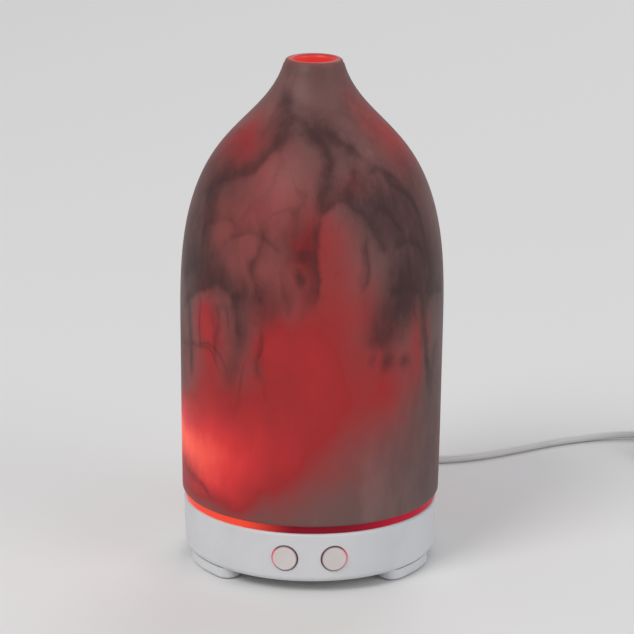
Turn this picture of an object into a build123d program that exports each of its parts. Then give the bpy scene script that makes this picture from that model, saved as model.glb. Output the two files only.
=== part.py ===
"""Ultrasonic essential oil diffuser: a marbled glass cover over a water tank and a round white base.

Millimetres. The origin is on the table under the middle of the base, +Z is up and the buttons face -Y.
"""

import os
from math import cos, radians, sin, sqrt, tan

from build123d import *

# ---------------------------------------------------------------- driving dimensions
body_diameter = 90.0  # widest diameter of the glass cover
total_height = 175.0  # table to the rim of the mouth

# glass cover
glass_wall = 3.0
neck_radius = 9.8  # outside radius at the rim
foot_narrowing = 0.6  # how much the glass draws in at its foot
waist_level = 0.68  # share of the way from the foot to the shoulder where the glass is widest
rim_rounding = 1.3
shoulder_drop = 57.0  # from the rim down to where the shoulder node meets the wall node
# shoulder and neck: drop below the rim, and share of the way from the neck's radius to the full one
shoulder_curve = [(70, 0.988), (47, 0.873), (32, 0.667), (21, 0.396), (13, 0.185), (5, 0.045), (0, 0.0)]

# base housing
foot_height = 4.0
base_height = 17.5  # the housing's own height, above the feet
base_inset = 1.1  # the housing's top edge inside the widest glass radius
base_taper = 0.6  # how much the housing draws in from its top edge to its foot
base_wall = 2.0
deck_thickness = 2.0
deck_opening_radius = 26.5
top_edge_rounding = 0.8
bottom_edge_rounding = 2.4
cover_seat = 1.4  # the housing's thickening round the bottom cover
boss_radius = 3.0
boss_inset = 8.4  # from the housing's inner wall to the middle of its screw bosses
boss_sink = 0.8  # how far the tank's screw bosses run into its wall

# bottom cover and its feet
cover_plate = 2.0
vent_slot_width = 1.8
vent_slot_count = 7
vent_margin = 2.1  # from the last slot's middle to the edge of the fan's bore
foot_span = 38.0  # degrees of the rim that each foot covers
foot_width = 9.0
foot_inset = 1.0
foot_rounding = 0.9
foot_angles = (90.0, 210.0, 330.0)
foot_end_share = 0.45  # the rounding of a foot's ends, in its own widths
pad_thickness = 0.8
pad_proud = 0.3  # how far the pads stand below the feet
pad_inset = 1.8
pad_shortening = 5.0  # degrees
pad_end_share = 0.25  # the rounding of a pad's ends, in foot widths
peg_drop = 1.0  # how far the fan's pegs stop under its top

# light ring under the glass
ring_height = 2.5
ring_inset = 0.7  # behind the housing's top edge
lip_height = 4.0
lip_wall = 1.8

# water tank
tank_wall = 1.8
tank_rim_height = 64.0
tank_floor_height = 30.0
flange_width = 2.5
flange_height = 1.9
ring_gap = 0.5  # between the tank's flange and the light ring
gasket_thickness = 0.6
fill_line_drop = 7.0
fill_line_size = 0.5

# inner cover
lid_wall = 1.6
lid_overlap = 12.0
lid_straight = 14.0  # straight wall above the tank's rim
lid_shoulder = 34.0  # height of the sloping part
lid_seat = 1.2
chimney_radius = 8.5
lid_fullness = 3.0  # how far the dome bellies out of a straight slope
lid_waist = 0.56  # share of the way up the dome where it bellies most
chimney_gap = 35.0  # from the chimney's top to the rim of the glass

# air path
tower_radius = 6.0
tower_wall = 1.4
tower_rise = 5.0  # above the tank's rim
duct_share = 19 / 60  # of the room beside the duct, between the disc's collar and the tank's wall
tower_spigot = 4.0  # below the tank's floor
cap_wall = 1.2
cap_height = 6.0
cap_window = 6.5  # width of each opening in its side
duct_wall = 1.2
duct_rise = 5.5
fan_size = 25.0
fan_height = 8.0
fan_hole_inset = 2.5  # from the frame's edge to the middle of its corner holes
fan_rim = 1.1  # the frame's wall beside its bore
fan_spoke = 1.2
fan_gap = 1.5  # between the fan and what is in front of it and behind it
fan_blades = 7
blade_thickness = 0.9
blade_tilt = 35.0
blade_height_share = 0.86  # of the rotor's height
blade_root = 0.4  # how far a blade runs into the hub
hub_radius = 5.3
hub_crown = 1.0
hub_rounding = 0.6
peg_radius = 1.2

# ultrasonic disc
disc_radius = 10.0
disc_thickness = 1.3
seal_radius = 12.2
seal_height = 3.4
wet_hole_radius = 8.0
clamp_thickness = 1.6
collar_radius = 16.5

# light board
led_count = 6
led_size = 5.0
led_height = 1.6
led_circle = 21.8
led_first = 130.0  # degrees
led_step = 56.0
led_board_width = 7.5
led_board_margin = 28.0  # degrees of board past the first and last lights, together
led_board_thickness = 1.2
led_board_overlap = 0.2  # how far the board's top lies above the clamp's foot
led_post_radius = 2.2

# main board
board_thickness = 1.6
board_post_height = 2.8
board_post_radius = 2.6
board_edge = 3.8  # between the board and the housing's wall
board_posts = [(-27.0, -4.0), (27.0, -4.0), (0.0, -21.0)]
inductor_size = (4.0, 6.5)  # radius and height
inductor_spot = (13.0, -12.0)
inductor_rounding = 0.6
capacitor_size = (3.2, 8.0)
capacitor_spot = (-9.0, -9.0)
capacitor_rounding = 0.5
chip_size = (7.0, 7.0, 1.4)
chip_spot = (0.0, -12.5)
chip_chamfer = 0.2
connector_size = (9.0, 5.0, 4.5)
connector_spot = (24.0, -14.0)
connector_wall = 0.8
connector_floor = 1.0
switch_size = (3.6, 6.0, 5.0)  # depth, width, height
switch_tip = (1.75, 1.2)  # radius and length of the part that is pressed

# buttons
button_radius = 4.4
button_angle = 11.0  # degrees either side of the middle
button_proud = 0.5
button_travel = 0.5
button_flange = 0.9
button_flange_width = 0.9
button_stem_radius = 1.6
button_edge = 0.5

# power socket and plug
socket_width = 9.0
socket_depth = 9.6
socket_height = 9.6
socket_nose = 4.0
socket_bore = 3.0
socket_bore_depth = 9.4
pin_radius = 1.0
pin_setback = 1.0  # behind the socket's mouth
barrel_radius = 2.75
barrel_hole = 1.25
barrel_length = 8.6
plug_radius = 4.3
plug_length = 14.0
plug_rounding = 0.8
relief_length = 14.0
relief_radius = 3.0
relief_lip = 0.5  # the sleeve's wall where the lead leaves it

# lead
cord_radius = 1.5
coil_centre = (150.0, 108.0)
coil_middle_radius = 17.0
coil_columns = 3
coil_layers = 4
coil_lead_in = 18.0  # straight stretch of cord on the coil's tangent
tie_width = 5.0
tie_thickness = 0.6
tail_drop = 24.0  # along the table, while the tail comes down from the coil
tail_straight = 12.0
usb_relief_length = 12.0
usb_body = (15.6, 24.0, 8.0)
usb_body_rounding = 1.6
usb_shell_size = (12.0, 18.5, 4.5)
usb_shell_wall = 0.35
usb_tongue_size = (11.0, 14.0, 1.9)
wire_radius = 0.7

# screws: radius and height of the head, radius and length of the shank
housing_screw = (2.4, 1.2, 1.1, 9.0)
tank_screw = (2.3, 1.1, 1.1, 8.0)
small_screw = (1.7, 0.9, 0.8, 4.5)

# fits
running = 0.05  # shafts and screws in their holes, on the radius
slip = 0.3  # pieces that lift off or slide
button_gap = 0.2
switch_gap = 1.2  # length of the button's stem behind its flange
tie_gap = 0.35
blade_clearance = 0.8
rotor_gap = 0.4  # above and below the rotor
press_gap = 0.1  # what a pressed button leaves before its switch's body

# ---------------------------------------------------------------- worked out from them
glass_radius = body_diameter / 2
base_top = foot_height + base_height
base_radius = glass_radius - base_inset
base_foot_radius = base_radius - base_taper
base_inner = base_foot_radius - base_wall
deck_bottom = base_top - deck_thickness
plate_top = foot_height + cover_plate
cover_bore = base_inner - cover_seat
cover_radius = cover_bore - slip / 2
ring_top = base_top + ring_height
ring_radius = base_radius - ring_inset
glass_foot_radius = glass_radius - foot_narrowing
shoulder_level = total_height - shoulder_drop
lip_radius = glass_foot_radius - glass_wall - 2 * slip
ring_bore = lip_radius - lip_wall
flange_radius = ring_bore - ring_gap
tank_radius = flange_radius - flange_width
tank_inner = tank_radius - tank_wall
tank_foot = base_top + gasket_thickness
tank_floor_top = tank_floor_height + tank_wall
tower_top = tank_rim_height + tower_rise
duct_inner = tower_radius + slip / 2
duct_radius = duct_inner + duct_wall
duct_room = tank_inner - collar_radius - 2 * duct_radius
tower_y = collar_radius + duct_radius + duct_share * duct_room
lid_inner = tank_radius + slip
lid_radius = lid_inner + lid_wall
lid_foot = tank_rim_height - lid_overlap
lid_straight_top = tank_rim_height + lid_straight
lid_shoulder_top = lid_straight_top + lid_shoulder
chimney_top = total_height - chimney_gap
button_z = foot_height + base_height / 2
button_angles = {"mist_button": 270.0 - button_angle, "light_button": 270.0 + button_angle}
socket_z = plate_top + slip + socket_height / 2
socket_front = sqrt(base_inner**2 - (socket_width / 2) ** 2) - slip / 2
socket_back = socket_front - socket_depth
fan_pitch = fan_size - 2 * fan_hole_inset
fan_bore_radius = fan_size / 2 - fan_rim
fan_y = socket_back - fan_gap - fan_size / 2
fan_top = plate_top + fan_height
vent_reach = fan_bore_radius - slip
vent_pitch = 2 * (vent_reach - vent_margin) / (vent_slot_count - 1)
rotor_foot = plate_top + fan_spoke + rotor_gap
rotor_height = fan_height - fan_spoke - 2 * rotor_gap
rotor_bore = rotor_height - hub_crown
board_bottom = plate_top + board_post_height
board_top = board_bottom + board_thickness
board_radius = base_inner - board_edge
board_back = fan_y - fan_size / 2 - fan_gap
seal_foot = tank_floor_height - seal_height
clamp_foot = seal_foot - clamp_thickness
disc_foot = tank_floor_height - (seal_height + disc_thickness) / 2
led_board_foot = clamp_foot - led_board_thickness + led_board_overlap
led_board_top = led_board_foot + led_board_thickness
boss_circle = base_inner - boss_inset
tank_screw_circle = tank_inner - boss_radius + boss_sink
housing_screw_angles = (30.0, 150.0, 270.0)
tank_screw_angles = (48.0, 132.0, 214.0, 326.0)
clamp_screw_angles = (30.0, 150.0, 270.0)
led_angles = [led_first + led_step * n for n in range(led_count)]
led_post_angles = [led_first + led_step * (n + 0.5) for n in (0, 2, 4)]
clamp_screw_circle = (seal_radius + collar_radius) / 2

written = {}


def polar(radius, angle, height=0.0):
    """A point at that radius and angle about the axis."""
    return Vector(radius * cos(radians(angle)), radius * sin(radians(angle)), height)


def ring_of(radius, angles, height=0.0):
    """Points spaced round the axis at the given angles."""
    return [polar(radius, angle, height) for angle in angles]


def outwards(angle, height):
    """A plane through the axis at that height, facing out in that direction."""
    return Plane(origin=(0, 0, height), x_dir=polar(1, angle + 90), z_dir=polar(1, angle))


def save(piece, name):
    """Labels a finished piece and keeps it for writing."""
    piece.part.label = name
    written[name] = piece.part


def arc_bar(inner, outer, middle, span, rounding):
    """A curved bar in plan, with rounded ends."""
    with BuildSketch() as bar:
        with BuildLine():
            near = CenterArc((0, 0), inner, middle - span / 2, span)
            far = CenterArc((0, 0), outer, middle - span / 2, span)
            Line(near @ 0, far @ 0)
            Line(near @ 1, far @ 1)
        make_face()
        fillet(bar.vertices(), rounding)
    return bar.sketch


def screws(spots, size, head_up):
    """A group of pan-head screws, with their heads seated at the spots."""
    head_radius, head_height, shank_radius, shank_length = size
    turn = 0 if head_up else 180
    seats = [Location(spot, (turn, 0, 0)) for spot in spots]
    with BuildPart() as group:
        with Locations(*seats):
            Cylinder(head_radius, head_height, align=(Align.CENTER, Align.CENTER, Align.MIN))
            Cylinder(shank_radius, shank_length, align=(Align.CENTER, Align.CENTER, Align.MAX))
        rims = group.edges().filter_by(GeomType.CIRCLE)
        tops = [e for e in rims if abs(abs(e.center().Z - spots[0].Z) - head_height) < 1e-3]
        fillet(tops, head_height * 0.4)
        with Locations(*[seat * Location((0, 0, head_height)) for seat in seats]):
            Box(head_radius, head_radius / 3.5, head_height, mode=Mode.SUBTRACT)
            Box(head_radius / 3.5, head_radius, head_height, mode=Mode.SUBTRACT)
    return group


def bend_radii(points):
    """The largest even bends that a route's runs allow, one for each corner."""
    radii = []
    for before, corner, after in zip(points, points[1:], points[2:]):
        arriving = Vector(*corner) - Vector(*before)
        leaving = Vector(*after) - Vector(*corner)
        half_turn = radians(arriving.get_angle(leaving)) / 2
        radii.append(0.45 * min(arriving.length, leaving.length) / tan(half_turn))
    return radii


def tube(points, radius):
    """A round tube along straight runs joined by tangent arcs."""
    with BuildPart() as lead:
        with BuildLine() as path:
            FilletPolyline(*points, radius=bend_radii(points))
        with BuildSketch(Plane(origin=path.line @ 0, z_dir=path.line % 0)):
            Circle(radius)
        sweep()
    return lead


# ---------------------------------------------------------------- glass cover, kept as two nodes
with BuildPart() as glass_shell:
    with BuildSketch(Plane.XZ) as glass_section:
        with BuildLine():
            shoulder = [
                (neck_radius + share * (glass_radius - neck_radius), total_height - drop)
                for drop, share in shoulder_curve
            ]
            waist = (glass_radius, ring_top + waist_level * (shoulder[0][1] - ring_top))
            foot = (glass_foot_radius, ring_top)
            outside = Spline(foot, waist, *shoulder, tangents=[(0.02, 1), (-0.2, 1)])
            stations = [n / 16 for n in range(17)]
            walls = [outside @ t + (outside % t).rotate(Axis.Z, 90) * glass_wall for t in stations]
            walls[0] = Vector(glass_foot_radius - glass_wall, ring_top)
            walls[-1] = Vector(walls[-1].X, total_height)
            mouth_radius = walls[-1].X
            inside = Spline(*walls)
            Line(outside @ 0, inside @ 0)
            Line(outside @ 1, inside @ 1)
        make_face()
        fillet(glass_section.vertices(), rim_rounding)
    revolve(axis=Axis.Z)

with BuildPart() as glass_cover:
    add(glass_shell)
    split(bisect_by=Plane.XY.offset(shoulder_level), keep=Keep.BOTTOM)
save(glass_cover, "glass_cover")

with BuildPart() as glass_shoulder:
    add(glass_shell)
    split(bisect_by=Plane.XY.offset(shoulder_level), keep=Keep.TOP)
save(glass_shoulder, "glass_shoulder")

# ---------------------------------------------------------------- light ring
with BuildPart() as light_ring:
    with BuildSketch(Plane.XY.offset(base_top)):
        Circle(ring_radius)
        Circle(ring_bore, mode=Mode.SUBTRACT)
    extrude(amount=ring_height)
    with BuildSketch(Plane.XY.offset(ring_top)):
        Circle(lip_radius)
        Circle(ring_bore, mode=Mode.SUBTRACT)
    extrude(amount=lip_height)
    lip_edge = light_ring.edges().group_by(Axis.Z)[-1].sort_by(SortBy.RADIUS)[-1]
    chamfer(lip_edge, lip_wall * 0.4)
save(light_ring, "light_ring")

# ---------------------------------------------------------------- base housing
with BuildPart() as base_housing:
    with BuildSketch(Plane.XZ):
        with BuildLine():
            Polyline(
                (0, foot_height),
                (base_foot_radius, foot_height),
                (base_radius, base_top),
                (0, base_top),
                close=True,
            )
        make_face()
    revolve(axis=Axis.Z)
    fillet(base_housing.edges().filter_by(GeomType.CIRCLE).group_by(Axis.Z)[0], bottom_edge_rounding)
    fillet(base_housing.edges().filter_by(GeomType.CIRCLE).group_by(Axis.Z)[-1], top_edge_rounding)
    with BuildSketch(Plane.XY.offset(foot_height)):
        Circle(cover_bore)
    extrude(amount=base_height - deck_thickness, mode=Mode.SUBTRACT)
    with BuildSketch(Plane.XY.offset(plate_top + slip)):
        Circle(base_inner)
    extrude(amount=deck_bottom - plate_top - slip, mode=Mode.SUBTRACT)
    with BuildSketch(Plane.XY.offset(base_top)):
        Circle(deck_opening_radius)
        with Locations((0, tower_y)):
            Circle(duct_radius + slip)
    extrude(amount=-deck_thickness, mode=Mode.SUBTRACT)
    with BuildSketch(Plane.XY.offset(plate_top)):
        with Locations(*ring_of(boss_circle, housing_screw_angles)):
            Circle(boss_radius)
    extrude(amount=deck_bottom - plate_top + deck_thickness / 2)
    with BuildSketch(Plane.XY.offset(plate_top)):
        with Locations(*ring_of(boss_circle, housing_screw_angles)):
            Circle(housing_screw[2] + running)
    extrude(amount=housing_screw[3], mode=Mode.SUBTRACT)
    with BuildSketch(Plane.XY.offset(base_top)):
        with Locations(*ring_of(tank_screw_circle, tank_screw_angles)):
            Circle(tank_screw[2] + running)
    extrude(amount=-deck_thickness, mode=Mode.SUBTRACT)
    for angle in button_angles.values():
        with BuildSketch(outwards(angle, button_z).offset(base_inner - slip - button_flange)):
            Circle(button_radius + button_gap)
        extrude(amount=glass_radius - base_inner + button_flange + slip, mode=Mode.SUBTRACT)
    with BuildSketch(outwards(90, socket_z).offset(socket_back)):
        Circle(socket_nose + button_gap)
    extrude(amount=glass_radius - socket_back, mode=Mode.SUBTRACT)
save(base_housing, "base_housing")

# ---------------------------------------------------------------- bottom cover with its three feet
foot_outer = base_foot_radius - foot_inset
foot_inner = foot_outer - foot_width
foot_rounding_in_plan = foot_width * foot_end_share
feet = [arc_bar(foot_inner, foot_outer, angle, foot_span, foot_rounding_in_plan) for angle in foot_angles]
pads = [
    arc_bar(
        foot_inner + pad_inset,
        foot_outer - pad_inset,
        angle,
        foot_span - pad_shortening,
        foot_width * pad_end_share,
    )
    for angle in foot_angles
]
with BuildPart() as bottom_cover:
    with BuildSketch(Plane.XY.offset(foot_height)):
        Circle(cover_radius)
    extrude(amount=cover_plate)
    with BuildSketch(Plane.XY.offset(pad_proud)):
        add(feet)
    extrude(amount=foot_height - pad_proud)
    fillet(bottom_cover.edges().group_by(Axis.Z)[0], foot_rounding)
    with BuildSketch(Plane.XY.offset(pad_proud)):
        add(pads)
        offset(amount=running)
    extrude(amount=pad_thickness - pad_proud, mode=Mode.SUBTRACT)
    with BuildSketch(Plane.XY.offset(foot_height)):
        for n in range(vent_slot_count):
            row = (n - (vent_slot_count - 1) / 2) * vent_pitch
            with Locations((0, fan_y + row)):
                SlotOverall(2 * sqrt(vent_reach**2 - row**2), vent_slot_width)
    extrude(amount=cover_plate, mode=Mode.SUBTRACT)
    with BuildSketch(Plane.XY.offset(plate_top - cover_plate / 2)):
        with Locations((0, fan_y)):
            with GridLocations(fan_pitch, fan_pitch, 2, 2):
                Circle(peg_radius)
    extrude(amount=fan_height - peg_drop + cover_plate / 2)
    with BuildSketch(Plane.XY.offset(plate_top - cover_plate / 2)):
        with Locations(*board_posts):
            Circle(board_post_radius)
    extrude(amount=board_post_height + cover_plate / 2)
    with BuildSketch(Plane.XY.offset(board_bottom)):
        with Locations(*board_posts):
            Circle(small_screw[2] + running)
    extrude(amount=-small_screw[3], mode=Mode.SUBTRACT)
    with BuildSketch(Plane.XY.offset(foot_height)):
        with Locations(*ring_of(boss_circle, housing_screw_angles)):
            Circle(housing_screw[0] + slip)
    extrude(amount=housing_screw[1], mode=Mode.SUBTRACT)
    with BuildSketch(Plane.XY.offset(foot_height)):
        with Locations(*ring_of(boss_circle, housing_screw_angles)):
            Circle(housing_screw[2] + running)
    extrude(amount=cover_plate, mode=Mode.SUBTRACT)
save(bottom_cover, "bottom_cover")

with BuildPart() as foot_pads:
    with BuildSketch():
        add(pads)
    extrude(amount=pad_thickness)
save(foot_pads, "foot_pads")

housing_screw_spots = ring_of(boss_circle, housing_screw_angles, foot_height + housing_screw[1])
save(screws(housing_screw_spots, housing_screw, False), "housing_screws")

# ---------------------------------------------------------------- water tank
with BuildPart() as water_tank:
    with BuildSketch(Plane.XZ):
        with BuildLine():
            Polyline(
                (0, tank_floor_height),
                (tank_inner, tank_floor_height),
                (tank_inner, tank_foot),
                (flange_radius, tank_foot),
                (flange_radius, tank_foot + flange_height),
                (tank_radius, tank_foot + flange_height),
                (tank_radius, tank_rim_height),
                (tank_inner, tank_rim_height),
                (tank_inner, tank_floor_top),
                (0, tank_floor_top),
                close=True,
            )
        make_face()
    revolve(axis=Axis.Z)
    floor_corner = water_tank.edges().filter_by(GeomType.CIRCLE).filter_by_position(
        Axis.Z, tank_floor_top - 0.01, tank_floor_top + 0.01
    )
    fillet(floor_corner, tank_wall)
    with BuildSketch(Plane.XY.offset(tank_rim_height - fill_line_drop)):
        Circle(tank_inner + tank_wall / 2)
        Circle(tank_inner - fill_line_size, mode=Mode.SUBTRACT)
    extrude(amount=fill_line_size)
    with BuildSketch(Plane.XY.offset(tank_floor_height - tower_spigot)):
        with Locations((0, tower_y)):
            Circle(tower_radius)
    extrude(amount=tower_top - tank_floor_height + tower_spigot)
    with BuildSketch(Plane.XY.offset(tank_floor_height - tower_spigot)):
        with Locations((0, tower_y)):
            Circle(tower_radius - tower_wall)
    extrude(amount=tower_top - tank_floor_height + tower_spigot, mode=Mode.SUBTRACT)
    with BuildSketch(Plane.XY.offset(seal_foot)):
        Circle(collar_radius)
    extrude(amount=seal_height)
    with BuildSketch(Plane.XY.offset(seal_foot)):
        Circle(seal_radius + running)
    extrude(amount=seal_height, mode=Mode.SUBTRACT)
    with BuildSketch(Plane.XY.offset(tank_floor_height)):
        Circle(wet_hole_radius)
    extrude(amount=tank_wall, mode=Mode.SUBTRACT)
    with BuildSketch(Plane.XY.offset(base_top)):
        with Locations(*ring_of(tank_screw_circle, tank_screw_angles)):
            Circle(boss_radius)
    extrude(amount=tank_floor_height - base_top + tank_wall / 2)
    with BuildSketch(Plane.XY.offset(base_top)):
        with Locations(*ring_of(tank_screw_circle, tank_screw_angles)):
            Circle(tank_screw[2] + running)
    extrude(amount=tank_screw[3] - deck_thickness, mode=Mode.SUBTRACT)
    with BuildSketch(Plane.XY.offset(led_board_top)):
        with Locations(*ring_of(led_circle, led_post_angles)):
            Circle(led_post_radius)
    extrude(amount=tank_floor_height - led_board_top + tank_wall / 2)
    with BuildSketch(Plane.XY.offset(led_board_top)):
        with Locations(*ring_of(led_circle, led_post_angles)):
            Circle(small_screw[2] + running)
    extrude(amount=small_screw[3], mode=Mode.SUBTRACT)
    with BuildSketch(Plane.XY.offset(seal_foot)):
        with Locations(*ring_of(clamp_screw_circle, clamp_screw_angles)):
            Circle(small_screw[2] + running)
    extrude(amount=small_screw[3] - clamp_thickness, mode=Mode.SUBTRACT)
save(water_tank, "water_tank")

with BuildPart() as deck_gasket:
    with BuildSketch(Plane.XY.offset(base_top)):
        Circle(flange_radius - slip)
        Circle(tank_inner + slip, mode=Mode.SUBTRACT)
        with Locations(*ring_of(tank_screw_circle, tank_screw_angles)):
            Circle(boss_radius + slip, mode=Mode.SUBTRACT)
    extrude(amount=gasket_thickness)
save(deck_gasket, "deck_gasket")

save(screws(ring_of(tank_screw_circle, tank_screw_angles, deck_bottom), tank_screw, False), "tank_screws")

# ---------------------------------------------------------------- tower cap
with BuildPart() as tower_cap:
    with BuildSketch(Plane.XY.offset(tower_top - cap_height / 2)):
        with Locations((0, tower_y)):
            Circle(tower_radius + running + cap_wall)
            Circle(tower_radius + running, mode=Mode.SUBTRACT)
    extrude(amount=cap_height)
    with BuildSketch(Plane.XY.offset(tower_top + cap_height / 2)):
        with Locations((0, tower_y)):
            Circle(tower_radius + running + cap_wall)
    extrude(amount=cap_wall)
    fillet(tower_cap.edges().group_by(Axis.Z)[-1], cap_wall * 0.6)
    with BuildSketch(Plane.XY.offset(tower_top)):
        with Locations((0, tower_y)):
            with PolarLocations(0, 2, angular_range=180):
                Rectangle(3 * tower_radius, cap_window)
    extrude(amount=cap_height / 2, mode=Mode.SUBTRACT)
save(tower_cap, "tower_cap")

# ---------------------------------------------------------------- inner cover
dome_waist = (
    (lid_radius + chimney_radius) / 2 + lid_fullness,
    lid_straight_top + lid_shoulder * lid_waist,
)
with BuildPart() as inner_cover:
    with BuildSketch(Plane.XZ):
        with BuildLine():
            dome = Spline(
                (lid_radius, lid_straight_top),
                dome_waist,
                (chimney_radius, lid_shoulder_top),
                tangents=[(0, 1), (0, 1)],
            )
            Line((lid_radius, lid_foot), dome @ 0)
            Line(dome @ 1, (chimney_radius, chimney_top))
            lining = Spline(
                (lid_inner, lid_straight_top),
                dome @ 0.5 + (dome % 0.5).rotate(Axis.Z, 90) * lid_wall,
                (chimney_radius - lid_wall, lid_shoulder_top),
                tangents=[(0, 1), (0, 1)],
            )
            Line((lid_inner, lid_foot), lining @ 0)
            Line(lining @ 1, (chimney_radius - lid_wall, chimney_top))
            Line((lid_inner, lid_foot), (lid_radius, lid_foot))
            Line((chimney_radius - lid_wall, chimney_top), (chimney_radius, chimney_top))
        make_face()
    revolve(axis=Axis.Z)
    with BuildSketch(Plane.XY.offset(tank_rim_height)):
        Circle(lid_inner + lid_wall / 2)
        Circle(tank_inner + slip, mode=Mode.SUBTRACT)
    extrude(amount=lid_seat)
save(inner_cover, "inner_cover")

# ---------------------------------------------------------------- ultrasonic disc, its seal and its clamp
with BuildPart() as transducer_disc:
    with BuildSketch(Plane.XY.offset(disc_foot)):
        Circle(disc_radius)
    extrude(amount=disc_thickness)
save(transducer_disc, "transducer_disc")

with BuildPart() as transducer_seal:
    with BuildSketch(Plane.XY.offset(seal_foot)):
        Circle(seal_radius)
        Circle(wet_hole_radius, mode=Mode.SUBTRACT)
    extrude(amount=seal_height)
    with BuildSketch(Plane.XY.offset(disc_foot)):
        Circle(disc_radius)
    extrude(amount=disc_thickness, mode=Mode.SUBTRACT)
save(transducer_seal, "transducer_seal")

with BuildPart() as clamp_plate:
    with BuildSketch(Plane.XY.offset(clamp_foot)):
        Circle(collar_radius)
        Circle(wet_hole_radius, mode=Mode.SUBTRACT)
        with Locations(*ring_of(clamp_screw_circle, clamp_screw_angles)):
            Circle(small_screw[2] + running, mode=Mode.SUBTRACT)
    extrude(amount=clamp_thickness)
save(clamp_plate, "clamp_plate")

save(screws(ring_of(clamp_screw_circle, clamp_screw_angles, clamp_foot), small_screw, False), "clamp_screws")

# ---------------------------------------------------------------- light board
board_span = (led_count - 1) * led_step + led_board_margin
with BuildPart() as led_board:
    with BuildSketch(Plane.XY.offset(led_board_foot)):
        add(
            arc_bar(
                led_circle - led_board_width / 2,
                led_circle + led_board_width / 2,
                led_first + (led_count - 1) * led_step / 2,
                board_span,
                led_board_width / 4,
            )
        )
        with Locations(*ring_of(led_circle, led_post_angles)):
            Circle(small_screw[2] + running, mode=Mode.SUBTRACT)
    extrude(amount=led_board_thickness)
save(led_board, "led_board")

with BuildPart() as leds:
    with BuildSketch(Plane.XY.offset(led_board_top)):
        with PolarLocations(led_circle, led_count, led_first, led_step * led_count):
            Rectangle(led_size, led_size)
    extrude(amount=led_height)
    chamfer(leds.edges().group_by(Axis.Z)[-1], led_height * 0.2)
save(leds, "leds")

save(screws(ring_of(led_circle, led_post_angles, led_board_foot), small_screw, False), "led_screws")

# ---------------------------------------------------------------- main board and what stands on it
with BuildPart() as main_board:
    with BuildSketch(Plane.XY.offset(board_bottom)):
        Circle(board_radius)
        with Locations((0, board_back)):
            Rectangle(
                2 * board_radius,
                2 * board_radius,
                align=(Align.CENTER, Align.MIN),
                mode=Mode.SUBTRACT,
            )
        with Locations(polar(boss_circle, 270)):
            Circle(boss_radius + slip, mode=Mode.SUBTRACT)
        with Locations(*board_posts):
            Circle(small_screw[2] + running, mode=Mode.SUBTRACT)
    extrude(amount=board_thickness)
save(main_board, "main_board")

save(screws([Vector(x, y, board_top) for x, y in board_posts], small_screw, True), "board_screws")

stem_end = base_inner - slip - button_flange - button_travel - press_gap - switch_gap
switch_face = stem_end - switch_tip[1]
with BuildPart() as button_switches:
    for angle in button_angles.values():
        with BuildSketch(outwards(angle, board_top).offset(switch_face - switch_size[0])):
            Rectangle(switch_size[1], switch_size[2], align=(Align.CENTER, Align.MIN))
        extrude(amount=switch_size[0])
        with BuildSketch(outwards(angle, button_z).offset(switch_face)):
            Circle(switch_tip[0])
        extrude(amount=switch_tip[1])
save(button_switches, "button_switches")

with BuildPart() as inductor:
    with BuildSketch(Plane.XY.offset(board_top)):
        with Locations(inductor_spot):
            Circle(inductor_size[0])
    extrude(amount=inductor_size[1])
    fillet(inductor.edges().group_by(Axis.Z)[-1], inductor_rounding)
save(inductor, "inductor")

with BuildPart() as capacitor:
    with BuildSketch(Plane.XY.offset(board_top)):
        with Locations(capacitor_spot):
            Circle(capacitor_size[0])
    extrude(amount=capacitor_size[1])
    fillet(capacitor.edges().group_by(Axis.Z)[-1], capacitor_rounding)
save(capacitor, "capacitor")

with BuildPart() as driver_chip:
    with Locations((*chip_spot, board_top)):
        Box(*chip_size, align=(Align.CENTER, Align.CENTER, Align.MIN))
    chamfer(driver_chip.edges().group_by(Axis.Z)[-1], chip_chamfer)
save(driver_chip, "driver_chip")

with BuildPart() as board_connector:
    with Locations((*connector_spot, board_top)):
        Box(*connector_size, align=(Align.CENTER, Align.CENTER, Align.MIN))
    with Locations((*connector_spot, board_top + connector_size[2])):
        Box(
            connector_size[0] - 2 * connector_wall,
            connector_size[1] - 2 * connector_wall,
            connector_size[2] - connector_floor,
            align=(Align.CENTER, Align.CENTER, Align.MAX),
            mode=Mode.SUBTRACT,
        )
save(board_connector, "board_connector")

# ---------------------------------------------------------------- fan, its rotor and the duct above it
with BuildPart() as fan_frame:
    with BuildSketch(Plane.XY.offset(plate_top)):
        with Locations((0, fan_y)):
            RectangleRounded(fan_size, fan_size, fan_hole_inset)
            Circle(fan_bore_radius, mode=Mode.SUBTRACT)
            with GridLocations(fan_pitch, fan_pitch, 2, 2):
                Circle(peg_radius + running, mode=Mode.SUBTRACT)
    extrude(amount=fan_height)
    with BuildSketch(Plane.XY.offset(plate_top)):
        with Locations((0, fan_y)):
            Circle(hub_radius)
            with PolarLocations(fan_bore_radius / 2 + 0.5, 3):
                Rectangle(fan_bore_radius, 2 * fan_spoke)
    extrude(amount=fan_spoke)
    with BuildSketch(Plane.XY.offset(plate_top)):
        with Locations((0, fan_y)):
            Circle(pin_radius)
    extrude(amount=rotor_foot + rotor_bore - rotor_gap - plate_top)
save(fan_frame, "fan_frame")

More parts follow.
